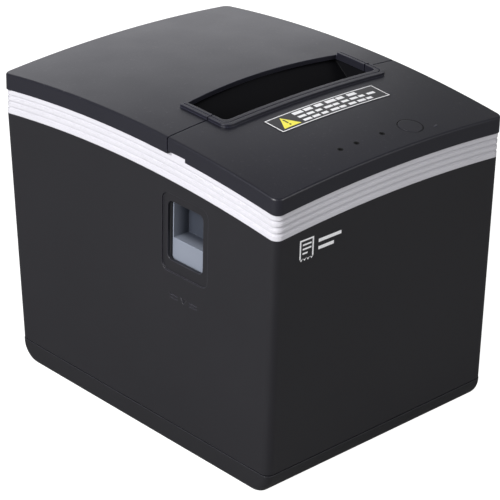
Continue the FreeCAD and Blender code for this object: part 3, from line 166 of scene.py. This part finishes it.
def make_grain_group():
    """Moulded grain: a pebbled height, a slow tone change and a roughness change."""
    tree, given, result = shader_group("moulded_grain", {"Scale": 2400.0, "Spread": 0.08},
                                       {"Height": "NodeSocketFloat", "Tone": "NodeSocketFloat",
                                        "Roughness": "NodeSocketFloat"})
    place = tree.nodes.new("ShaderNodeTexCoord").outputs["Object"]
    pebbles = tree.nodes.new("ShaderNodeTexVoronoi")
    pebbles.feature = "SMOOTH_F1"
    tree.links.new(place, pebbles.inputs["Vector"])
    tree.links.new(given["Scale"], pebbles.inputs["Scale"])
    fine = add_noise(tree, place, add_math(tree, "MULTIPLY", given["Scale"], 2.3), 2)
    height = add_math(tree, "ADD", pebbles.outputs["Distance"], add_math(tree, "MULTIPLY", fine, 0.4))
    tree.links.new(height, result["Height"])
    tone = add_noise(tree, place, 14, 3)
    tree.links.new(tone, result["Tone"])
    streak = add_noise(tree, place, 55, 4)
    centred = add_math(tree, "SUBTRACT", streak, 0.5)
    tree.links.new(add_math(tree, "MULTIPLY", centred, given["Spread"]), result["Roughness"])
    return tree


def make_edge_group():
    """Soft edges: a rounded normal, and a mask of the edges that it rounds."""
    tree, given, result = shader_group("soft_edges", {"Radius": 0.0004},
                                       {"Normal": "NodeSocketVector", "Edge": "NodeSocketFloat"})
    bevel = tree.nodes.new("ShaderNodeBevel")
    bevel.samples = 4
    tree.links.new(given["Radius"], bevel.inputs["Radius"])
    tree.links.new(bevel.outputs["Normal"], result["Normal"])
    flat = tree.nodes.new("ShaderNodeNewGeometry").outputs["Normal"]
    both = tree.nodes.new("ShaderNodeVectorMath")
    both.operation = "DOT_PRODUCT"
    tree.links.new(bevel.outputs["Normal"], both.inputs[0])
    tree.links.new(flat, both.inputs[1])
    edge = add_math(tree, "MULTIPLY", add_math(tree, "SUBTRACT", 1, both.outputs["Value"]), 4)
    clipped = tree.nodes.new("ShaderNodeClamp")
    tree.links.new(edge, clipped.inputs["Value"])
    tree.links.new(clipped.outputs["Result"], result["Edge"])
    return tree


def make_dust_group():
    """Dust: a mask of faint specks on the faces that look up."""
    tree, given, result = shader_group("settled_dust", {"Amount": 0.25, "Scale": 700.0},
                                       {"Dust": "NodeSocketFloat"})
    place = tree.nodes.new("ShaderNodeTexCoord").outputs["Object"]
    facing = tree.nodes.new("ShaderNodeSeparateXYZ")
    tree.links.new(tree.nodes.new("ShaderNodeNewGeometry").outputs["Normal"], facing.inputs[0])
    upward = tree.nodes.new("ShaderNodeClamp")
    tree.links.new(facing.outputs["Z"], upward.inputs["Value"])
    specks = tree.nodes.new("ShaderNodeMapRange")
    specks.inputs["From Min"].default_value = 0.62
    specks.inputs["From Max"].default_value = 0.8
    tree.links.new(add_noise(tree, place, given["Scale"], 2), specks.inputs["Value"])
    cloud = add_math(tree, "MULTIPLY", specks.outputs["Result"], add_noise(tree, place, 30, 2))
    mask = add_math(tree, "MULTIPLY", add_math(tree, "MULTIPLY", cloud, given["Amount"]),
                    upward.outputs["Result"])
    tree.links.new(mask, result["Dust"])
    return tree


grain_group = make_grain_group()
edge_group = make_edge_group()
dust_group = make_dust_group()


def place_group(tree, group, **values):
    """A shader group placed in a material, with its own values."""
    node = tree.nodes.new("ShaderNodeGroup")
    node.node_tree = group
    for label, value in values.items():
        node.inputs[label].default_value = value
    return node.outputs


def mix_colour(tree, share, first, second):
    """A colour between two colours or sockets, by a socket's share."""
    node = tree.nodes.new("ShaderNodeMix")
    node.data_type = "RGBA"
    if isinstance(share, (int, float)):
        node.inputs[0].default_value = share
    else:
        tree.links.new(share, node.inputs[0])
    for index, colour in ((6, first), (7, second)):
        if isinstance(colour, tuple):
            node.inputs[index].default_value = colour
        else:
            tree.links.new(colour, node.inputs[index])
    return node.outputs[2]


def shade(colour, factor):
    """A colour made lighter or darker, with a full alpha."""
    return tuple(channel * factor for channel in colour[:3]) + (1,)


def new_material(name, roughness, specular=0.5):
    """A material with its tree and its Principled shader."""
    material = bpy.data.materials.new(name)
    material.use_nodes = True
    shader = material.node_tree.nodes["Principled BSDF"]
    shader.inputs["Roughness"].default_value = roughness
    shader.inputs["Specular IOR Level"].default_value = specular
    return material, material.node_tree, shader.inputs


def moulded(name, colour, roughness, grain=2400.0, depth=0.00001, dust=0.0, specular=0.5, edge_highlight=1.5):
    """Moulded plastic or rubber: grain, soft edges with a painted highlight, and dust."""
    material, tree, shader = new_material(name, roughness, specular)
    surface = place_group(tree, grain_group, Scale=grain)
    rounded = place_group(tree, edge_group, Radius=moulded_edge)
    toned = mix_colour(tree, surface["Tone"], shade(colour, 0.85), shade(colour, 1.15))
    # Painted highlight: the colour is made lighter on the rounded edges, by the given factor.
    painted_highlight_and_dust = mix_colour(tree, rounded["Edge"], toned, shade(colour, edge_highlight))
    if dust:
        specks = place_group(tree, dust_group, Amount=dust)
        painted_highlight_and_dust = mix_colour(tree, specks["Dust"], painted_highlight_and_dust, (0.5, 0.5, 0.52, 1))
    tree.links.new(painted_highlight_and_dust, shader["Base Color"])
    tree.links.new(add_math(tree, "ADD", surface["Roughness"], roughness), shader["Roughness"])
    bump = tree.nodes.new("ShaderNodeBump")
    bump.inputs["Strength"].default_value = 1
    bump.inputs["Distance"].default_value = depth
    tree.links.new(surface["Height"], bump.inputs["Height"])
    tree.links.new(rounded["Normal"], bump.inputs["Normal"])
    tree.links.new(bump.outputs["Normal"], shader["Normal"])
    return material


def finish(material, *names):
    """Give CAD nodes a material in place of their plain one."""
    for name in names:
        for holder in nodes[name].material_slots:
            holder.material = material


body_black = moulded("body_black", (0.0095, 0.0092, 0.0118), 0.42, depth=0.000012, dust=0.12, edge_highlight=6.5,
                     specular=0.4)
finish(body_black, "body_shell")
tray_black = moulded("tray_black", (0.0085, 0.0083, 0.0105), 0.46, depth=0.000012, edge_highlight=6.5,
                     specular=0.4)
finish(tray_black, "base_tray")

# ---- Cap: lid and front cover ----
# The same plastic with a finer grain and a satin sheen, moulded as one dome
# and split at the lid's seam. The rims of the holes for the lamps and the
# button are darkened with painted shade.

cap_black = moulded("cap_black", (0.009, 0.009, 0.0145), 0.36, grain=3200.0, depth=0.000008, dust=0.12,
                    edge_highlight=5.5, specular=0.45)
finish(cap_black, "lid_shell", "front_cover")


def make_spot_group():
    """A round spot in plan: one inside a radius, fading to none just outside it."""
    tree, given, result = shader_group("round_spot", {"X": 0.0, "Y": 0.0, "Radius": 0.001},
                                       {"Spot": "NodeSocketFloat"})
    place = tree.nodes.new("ShaderNodeSeparateXYZ")
    tree.links.new(tree.nodes.new("ShaderNodeTexCoord").outputs["Object"], place.inputs[0])
    across = add_math(tree, "SUBTRACT", place.outputs["X"], given["X"])
    along = add_math(tree, "SUBTRACT", place.outputs["Y"], given["Y"])
    squares = add_math(tree, "ADD", add_math(tree, "MULTIPLY", across, across),
                       add_math(tree, "MULTIPLY", along, along))
    fade = tree.nodes.new("ShaderNodeMapRange")
    fade.inputs["From Max"].default_value = 0.0002
    fade.inputs["To Min"].default_value = 1
    fade.inputs["To Max"].default_value = 0
    outside = add_math(tree, "SUBTRACT", add_math(tree, "POWER", squares, 0.5), given["Radius"])
    tree.links.new(outside, fade.inputs["Value"])
    tree.links.new(fade.outputs["Result"], result["Spot"])
    return tree


spot_group = make_spot_group()


def paint_shade_spots(material, spots):
    """Paint shade into a material in round spots, dark and dull, each a centre and a radius."""
    tree = material.node_tree
    shader = tree.nodes["Principled BSDF"].inputs
    mask = 0
    for x, y, radius in spots:
        spot = place_group(tree, spot_group, X=x, Y=y, Radius=radius)["Spot"]
        mask = add_math(tree, "MAXIMUM", spot, mask)
    plain = shader["Base Color"].links[0].from_socket
    tree.links.new(mix_colour(tree, mask, plain, (0.001, 0.001, 0.0012, 1)), shader["Base Color"])
    smooth = shader["Roughness"].links[0].from_socket
    tree.links.new(add_math(tree, "MAXIMUM", smooth, mask), shader["Roughness"])


button_low, button_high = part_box("feed_button")
button_middle = (button_low + button_high) / 2
lamp_low, lamp_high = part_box("light_pipes")
lamp_row = (lamp_low.y + lamp_high.y) / 2
lamp_places = (-0.0208, -0.0107, 0.0056)
button_rim, lamp_rim = 0.0062, 0.0013
shaded_rims = [(button_middle.x, button_middle.y, button_rim)]
shaded_rims += [(x, lamp_row, lamp_rim) for x in lamp_places]
# Painted shade in the holes round the feed button and the lamps.
paint_shade_spots(cap_black, shaded_rims)

# ---- Trim band ----
# A light silver-grey moulding, painted satin. Its three grooves are in the
# CAD node, and its rounded edges have a little painted highlight.

trim_silver = moulded("trim_silver", (0.553, 0.545, 0.585), 0.38, grain=3600.0, depth=0.000004, edge_highlight=1.05)
finish(trim_silver, "trim_band")

# ---- Notice label ----
# A printed film on the front cover: a white border, a yellow warning triangle
# and rows of plain white bars. Each mark is ink raised a hair over the film.

label_low, label_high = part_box("notice_label")
label_middle = (label_low.y + label_high.y) / 2
triangle_middle = label_low.x + 0.0082
ink_thick = 0.00004
ink_gap = 0.00001
film_black = moulded("film_black", (0.014, 0.014, 0.016), 0.3, grain=900.0, depth=0.000002)
finish(film_black, "notice_label")


def ink(name, colour, roughness=0.45):
    """Printed ink: a plain colour with a slightly uneven coat."""
    material, tree, shader = new_material(name, roughness)
    place = tree.nodes.new("ShaderNodeTexCoord").outputs["Object"]
    uneven = add_noise(tree, place, 1500, 3)
    tree.links.new(mix_colour(tree, uneven, shade(colour, 0.9), shade(colour, 1.05)), shader["Base Color"])
    tree.links.new(add_math(tree, "MULTIPLY", uneven, 2 * roughness), shader["Roughness"])
    return material


white_ink = ink("white_ink", (0.9, 0.9, 0.92))
yellow_ink = ink("yellow_ink", (0.92, 0.85, 0.09))


def add_piece(name, made, material, body):
    """Turn a bmesh into an object that rides a body and wears a material."""
    bmesh.ops.recalc_face_normals(made, faces=made.faces)
    data = bpy.data.meshes.new(name)
    made.to_mesh(data)
    made.free()
    piece = bpy.data.objects.new(name, data)
    bpy.context.scene.collection.objects.link(piece)
    data.materials.append(material)
    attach(piece, body)
    return piece


def ink_patch(made, corners, thick):
    """A flat patch of ink with these corners in XY and a thickness in Z."""
    face = made.faces.new([made.verts.new((x, y, 0)) for x, y in corners])
    raised = bmesh.ops.extrude_face_region(made, geom=[face])["geom"]
    bmesh.ops.translate(made, verts=[item for item in raised if isinstance(item, bmesh.types.BMVert)],
                        vec=(0, 0, thick))


def cut_fine(made, step):
    """Cut long patches across so that they can follow the dome."""
    lows = [min(vert.co[axis] for vert in made.verts) for axis in (0, 1)]
    highs = [max(vert.co[axis] for vert in made.verts) for axis in (0, 1)]
    for axis, normal in ((0, (1, 0, 0)), (1, (0, 1, 0))):
        for index in range(1, int((highs[axis] - lows[axis]) / step) + 1):
            place = [0, 0, 0]
            place[axis] = lows[axis] + index * step
            bmesh.ops.bisect_plane(made, geom=made.verts[:] + made.edges[:] + made.faces[:],
                                   plane_co=place, plane_no=normal)


def lay_on_dome(made, node, lift):
    """Drop each point onto a CAD node's top, keeping its own height over it."""
    target_node = nodes[node]
    for vert in made.verts:
        hit, place, _, _ = target_node.ray_cast((vert.co.x, vert.co.y, 0.2), (0, 0, -1))
        if hit:
            vert.co.z += place.z + lift
    return made


def make_border():
    """The white line round the label and the line that parts off the triangle."""
    made = bmesh.new()
    inset, line = 0.0004, 0.0005
    left, right = label_low.x + inset, label_high.x - inset
    front, rear = label_low.y + inset, label_high.y - inset
    ink_patch(made, [(left, front), (right, front), (right, front + line), (left, front + line)], ink_thick)
    ink_patch(made, [(left, rear - line), (right, rear - line), (right, rear), (left, rear)], ink_thick)
    ink_patch(made, [(left, front + line), (left + line, front + line), (left + line, rear - line),
                     (left, rear - line)], ink_thick)
    ink_patch(made, [(right - line, front + line), (right, front + line), (right, rear - line),
                     (right - line, rear - line)], ink_thick)
    cut_fine(made, 0.004)
    return lay_on_dome(made, "notice_label", ink_gap)


add_piece("label_border", make_border(), white_ink, "base")


def make_triangle():
    """The plain yellow triangle at the label's left."""
    made = bmesh.new()
    half, tall = 0.0052, 0.0088
    front, rear = label_middle - tall / 2, label_middle + tall / 2
    outer = [(triangle_middle - half, front), (triangle_middle + half, front), (triangle_middle, rear)]
    ink_patch(made, outer, ink_thick)
    cut_fine(made, 0.003)
    return lay_on_dome(made, "notice_label", ink_gap)


add_piece("label_triangle", make_triangle(), yellow_ink, "base")


def make_triangle_mark():
    """The black stroke and dot on the triangle, each two ends and a half width."""
    made = bmesh.new()
    stroke = (-0.0012, 0.0022, 0.0004)
    dot = (-0.0031, -0.0021, 0.0005)
    for low, high, half in (stroke, dot):
        left, right = triangle_middle - half, triangle_middle + half
        front, rear = label_middle + low, label_middle + high
        ink_patch(made, [(left, front), (right, front), (right, rear), (left, rear)], ink_thick)
    return lay_on_dome(made, "notice_label", ink_thick + 2 * ink_gap)


add_piece("label_triangle_mark", make_triangle_mark(), film_black, "base")


def make_bars():
    """Three rows of short white bars in place of print, uneven in length.

    Each row is its place along Y, the bars' height, the row's end and their count."""
    made = bmesh.new()
    start = 0.0158
    rows = ((0.0037, 0.0023, 0.0575, 6), (0.0, 0.0018, 0.0655, 9), (-0.0035, 0.0018, 0.0620, 8))
    for rise, tall, end, count in rows:
        pitch = (end - start) / count
        for index in range(count):
            left = label_low.x + start + index * pitch
            wide = pitch * (0.74 + 0.14 * math.sin(2.4 * index + 400 * tall))
            low = label_middle + rise - tall / 2
            ink_patch(made, [(left, low), (left + wide, low), (left + wide, low + tall),
                             (left, low + tall)], ink_thick)
    cut_fine(made, 0.004)
    return lay_on_dome(made, "notice_label", ink_gap)


add_piece("label_bars", make_bars(), white_ink, "base")

# ---- Front mark ----
# A small generic receipt sign, printed white on the front wall: a slip with a
# torn lower edge, three lines on it, and two short bars beside it.


def make_sign():
    """The receipt sign's patches, drawn flat in X and Z and pushed onto the wall."""
    made = bmesh.new()
    left, low = -0.0575, 0.1175
    wide, tall, line, tooth = 0.0085, 0.0105, 0.0008, 0.0014
    line_inset, line_drop, line_pitch = 0.0018, 0.0030, 0.0021
    bar_gap, bar_tall, bar_pitch = 0.0030, 0.0016, 0.0036
    ink_patch(made, [(left, low + tooth), (left + line, low + tooth), (left + line, low + tall),
                     (left, low + tall)], ink_thick)
    ink_patch(made, [(left + wide - line, low + tooth), (left + wide, low + tooth),
                     (left + wide, low + tall), (left + wide - line, low + tall)], ink_thick)
    ink_patch(made, [(left + line, low + tall - line), (left + wide - line, low + tall - line),
                     (left + wide - line, low + tall), (left + line, low + tall)], ink_thick)
    count = 4
    for index in range(count):
        start = left + wide * index / count
        middle = left + wide * (index + 0.5) / count
        end = left + wide * (index + 1) / count
        ink_patch(made, [(start, low + tooth), (middle, low), (end, low + tooth),
                         (middle, low + line)], ink_thick)
    start = left + line_inset
    for index, share in enumerate((0.62, 0.62, 0.36)):
        up = low + tall - line_drop - line_pitch * index
        end = start + wide * share
        ink_patch(made, [(start, up), (end, up), (end, up + line), (start, up + line)], ink_thick)
    start = left + wide + bar_gap
    for index, length in enumerate((0.014, 0.0095)):
        up = low + tall * 0.62 - bar_pitch * index
        end = start + length
        ink_patch(made, [(start, up), (end, up), (end, up + bar_tall), (start, up + bar_tall)], ink_thick)
    wall = nodes["body_shell"]
    for vert in made.verts:
        x, z, lift = vert.co.x, vert.co.y, vert.co.z
        _, place, _, _ = wall.ray_cast((x, -0.2, z), (0, 1, 0))
        vert.co = (x, place.y - lift - ink_gap, z)
    return made


add_piece("front_sign", make_sign(), white_ink, "base")

# ---- Feed button and lamps ----
# A satin black disc that stands in the cover, and three dark tinted light
# pipes that are sunk in their holes.

key_black = moulded("key_black", (0.009, 0.009, 0.0145), 0.36, grain=4200.0, depth=0.000004, edge_highlight=2.2)
finish(key_black, "feed_button")
pipe_tint = moulded("pipe_tint", (0.006, 0.006, 0.009), 0.3, grain=500.0, depth=0.000001, specular=0.2)
finish(pipe_tint, "light_pipes")

# ---- Paper mouth ----
# The chute is one smooth moulding under the mouth, so that the paper slides on
# it. It is darker than the housing, as painted shade for the inside of the mouth.

chute_gloss = moulded("chute_gloss", (0.004, 0.004, 0.005), 0.4, grain=300.0, depth=0.000002, specular=0.1)
finish(chute_gloss, "exit_chute")

# ---- Lid release ----
# A satin blue-grey slider behind the side window. The back of its fingertip
# scoop is darkened with painted shade.

release_grey = moulded("release_grey", (0.185, 0.204, 0.248), 0.4, grain=2600.0, depth=0.000006, edge_highlight=1.6)


def paint_shade_inwards(material, start, end, share):
    """Paint shade into a material: darker from one place to another along X."""
    tree = material.node_tree
    shader = tree.nodes["Principled BSDF"].inputs
    place = tree.nodes.new("ShaderNodeSeparateXYZ")
    tree.links.new(tree.nodes.new("ShaderNodeTexCoord").outputs["Object"], place.inputs[0])
    deep = tree.nodes.new("ShaderNodeMapRange")
    deep.interpolation_type = "SMOOTHSTEP"
    deep.inputs["From Min"].default_value = start
    deep.inputs["From Max"].default_value = end
    deep.inputs["To Max"].default_value = share
    tree.links.new(place.outputs["X"], deep.inputs["Value"])
    plain = shader["Base Color"].links[0].from_socket
    painted_shade = mix_colour(tree, deep.outputs["Result"], plain, (0.02, 0.024, 0.035, 1))
    tree.links.new(painted_shade, shader["Base Color"])


release_low, release_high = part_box("release_button")
# Painted shade in the fingertip scoop, darker towards its back.
paint_shade_inwards(release_grey, release_low.x + 0.0006, release_high.x - 0.0035, 0.92)
finish(release_grey, "release_button")

# ---- Inner mouldings ----
# The bin, the deck, the guides and the lid's frame are plain matt black ABS
# with coarser grain, as parts that are seen only with the lid open.

inner_black = moulded("inner_black", (0.02, 0.02, 0.022), 0.55, grain=1700.0, depth=0.000015, dust=0.3)
finish(inner_black, "paper_bin", "top_deck", "release_guide", "platen_carrier", "rear_panel",
       "switch_housing", "board_posts")
sensor_black = moulded("sensor_black", (0.01, 0.01, 0.011), 0.35)
finish(sensor_black, "paper_sensor", "cover_switch", "feed_switch")

# ---- Steel ----
# Zinc-plated sheet for the plates and brackets, ground steel for the blades,
# and drawn or turned steel for pins, shafts, springs and screws.

metal_edge = 0.0002


def make_brush_group():
    """Brushed metal: fine scratches drawn out along X, and cloudy plating."""
    tree, given, result = shader_group("brushed_metal", {"Fineness": 3000.0, "Stretch": 0.03},
                                       {"Height": "NodeSocketFloat", "Cloud": "NodeSocketFloat"})
    place = tree.nodes.new("ShaderNodeTexCoord").outputs["Object"]
    drawn = tree.nodes.new("ShaderNodeVectorMath")
    drawn.operation = "MULTIPLY"
    stretch = tree.nodes.new("ShaderNodeCombineXYZ")
    stretch.inputs["Y"].default_value = 1
    stretch.inputs["Z"].default_value = 1
    tree.links.new(given["Stretch"], stretch.inputs["X"])
    tree.links.new(place, drawn.inputs[0])
    tree.links.new(stretch.outputs["Vector"], drawn.inputs[1])
    tree.links.new(add_noise(tree, drawn.outputs["Vector"], given["Fineness"], 3), result["Height"])
    tree.links.new(add_noise(tree, place, 160, 4), result["Cloud"])
    return tree


brush_group = make_brush_group()


def metal(name, colour, roughness, fineness=3000.0, stretch=0.03, depth=0.000003, spread=0.15):
    """Bare or plated metal: scratches, cloudy tone, and softened edges with a painted highlight."""
    material, tree, shader = new_material(name, roughness)
    shader["Metallic"].default_value = 1
    surface = place_group(tree, brush_group, Fineness=fineness, Stretch=stretch)
    rounded = place_group(tree, edge_group, Radius=metal_edge)
    toned = mix_colour(tree, surface["Cloud"], shade(colour, 0.8), shade(colour, 1.15))
    # Painted highlight: the colour is made lighter on the softened edges.
    tree.links.new(mix_colour(tree, rounded["Edge"], toned, shade(colour, 1.3)), shader["Base Color"])
    spread_out = add_math(tree, "MULTIPLY", surface["Cloud"], spread)
    tree.links.new(add_math(tree, "ADD", spread_out, roughness - spread / 2), shader["Roughness"])
    bump = tree.nodes.new("ShaderNodeBump")
    bump.inputs["Strength"].default_value = 1
    bump.inputs["Distance"].default_value = depth
    tree.links.new(surface["Height"], bump.inputs["Height"])
    tree.links.new(rounded["Normal"], bump.inputs["Normal"])
    tree.links.new(bump.outputs["Normal"], shader["Normal"])
    return material


zinc = metal("zinc_plate", (0.6, 0.62, 0.64), 0.38, spread=0.25)
finish(zinc, "hinge_lugs", "side_plate_left", "side_plate_right", "spring_plate", "motor_bracket",
       "bracket_spacers", "cutter_frame", "latch_hooks", "latch_crank")
ground_steel = metal("ground_steel", (0.68, 0.68, 0.7), 0.24, fineness=5000.0)
finish(ground_steel, "fixed_blade", "moving_blade")
turned_steel = metal("turned_steel", (0.58, 0.58, 0.6), 0.26, stretch=1.0)
finish(turned_steel, "base_screws", "hinge_pins", "idler_pin", "head_pivot", "latch_shaft",
       "platen_shaft", "head_springs", "release_spring")
motor_can = metal("motor_can", (0.5, 0.5, 0.52), 0.42)
finish(motor_can, "feed_motor", "cutter_motor")
socket_shield = metal("socket_shield", (0.62, 0.62, 0.63), 0.3)
finish(socket_shield, "lan_socket", "usb_socket", "drawer_socket")
brass = metal("pinion_brass", (0.72, 0.52, 0.2), 0.28, stretch=1.0)
finish(brass, "motor_pinion")
sink_aluminium = metal("sink_aluminium", (0.66, 0.67, 0.69), 0.34, fineness=2200.0)
finish(sink_aluminium, "heat_sink")

# ---- Gears, bushes, platen and print head ----
# Moulded acetal gears, bushes and cutter shaft, a ground rubber roller, and a
# glazed ceramic print head.

acetal = moulded("acetal", (0.78, 0.77, 0.72), 0.4, grain=1500.0, depth=0.000004, edge_highlight=1.05)
finish(acetal, "platen_gear", "idler_gear", "platen_bushes", "cutter_shaft")
roller_rubber = moulded("roller_rubber", (0.025, 0.025, 0.027), 0.62, grain=5200.0, depth=0.000012)
finish(roller_rubber, "platen_rubber")
head_glaze = moulded("head_glaze", (0.62, 0.58, 0.5), 0.16, grain=700.0, depth=0.000001, edge_highlight=1.05)
finish(head_glaze, "print_head")

# ---- Boards ----
# Two glass-fibre boards with green solder mask over lighter tracks. The parts
# that are soldered on them are moulded packages.


def make_board_material():
    """Green solder mask over copper tracks, drawn by a square cell pattern."""
    material, tree, shader = new_material("board_green", 0.3)
    place = tree.nodes.new("ShaderNodeTexCoord").outputs["Object"]
    cells = tree.nodes.new("ShaderNodeTexVoronoi")
    cells.distance = "CHEBYCHEV"
    cells.feature = "F1"
    cells.inputs["Scale"].default_value = 260
    tree.links.new(place, cells.inputs["Vector"])
    track = tree.nodes.new("ShaderNodeMapRange")
    track.inputs["From Min"].default_value = 0.42
    track.inputs["From Max"].default_value = 0.5
    tree.links.new(cells.outputs["Distance"], track.inputs["Value"])
    green = mix_colour(tree, track.outputs["Result"], (0.012, 0.11, 0.035, 1), (0.03, 0.19, 0.06, 1))
    tree.links.new(green, shader["Base Color"])
    bump = tree.nodes.new("ShaderNodeBump")
    bump.inputs["Distance"].default_value = 0.00003
    tree.links.new(track.outputs["Result"], bump.inputs["Height"])
    tree.links.new(bump.outputs["Normal"], shader["Normal"])
    return material


board_green = make_board_material()
finish(board_green, "main_board", "panel_board")
package_black = moulded("package_black", (0.02, 0.02, 0.022), 0.45, grain=1800.0)
finish(package_black, "board_parts")

# ---- Rear sockets and switch ----
# A gloss black power inlet and rocker switch. The two modular sockets have
# rows of gold-plated spring contacts.

inlet_black = moulded("inlet_black", (0.012, 0.012, 0.013), 0.22, grain=600.0, depth=0.000002)
finish(inlet_black, "dc_socket", "power_rocker")
gold = metal("contact_gold", (0.83, 0.6, 0.22), 0.25, stretch=1.0)


contact_pitch = 0.00102
contact_back = 0.0105
contact_wide, contact_long, contact_thick = 0.00045, 0.0085, 0.0004
contact_tilt = math.radians(9)


def make_contacts(node, count, drop):
    """Thin gold springs, this far below the top of a modular socket."""
    low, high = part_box(node)
    made = bmesh.new()
    middle_x = (low.x + high.x) / 2
    size = Matrix.Diagonal((contact_wide, contact_long, contact_thick, 1))
    tilt = Matrix.Rotation(contact_tilt, 4, "X")
    for index in range(count):
        x = middle_x + (index - (count - 1) / 2) * contact_pitch
        shift = Matrix.Translation((x, high.y - contact_back, high.z - drop))
        bmesh.ops.create_cube(made, size=1, matrix=shift @ tilt @ size)
    return made


add_piece("lan_contacts", make_contacts("lan_socket", 8, 0.0042), gold, "base")
add_piece("drawer_contacts", make_contacts("drawer_socket", 6, 0.0052), gold, "base")

# ---- Feet ----
# Four plain black rubber pads under the base tray, matt and coarse, which
# keep the printer from sliding.

foot_rubber = moulded("foot_rubber", (0.02, 0.02, 0.02), 0.7, grain=1300.0, depth=0.00002)
finish(foot_rubber, "rubber_feet")
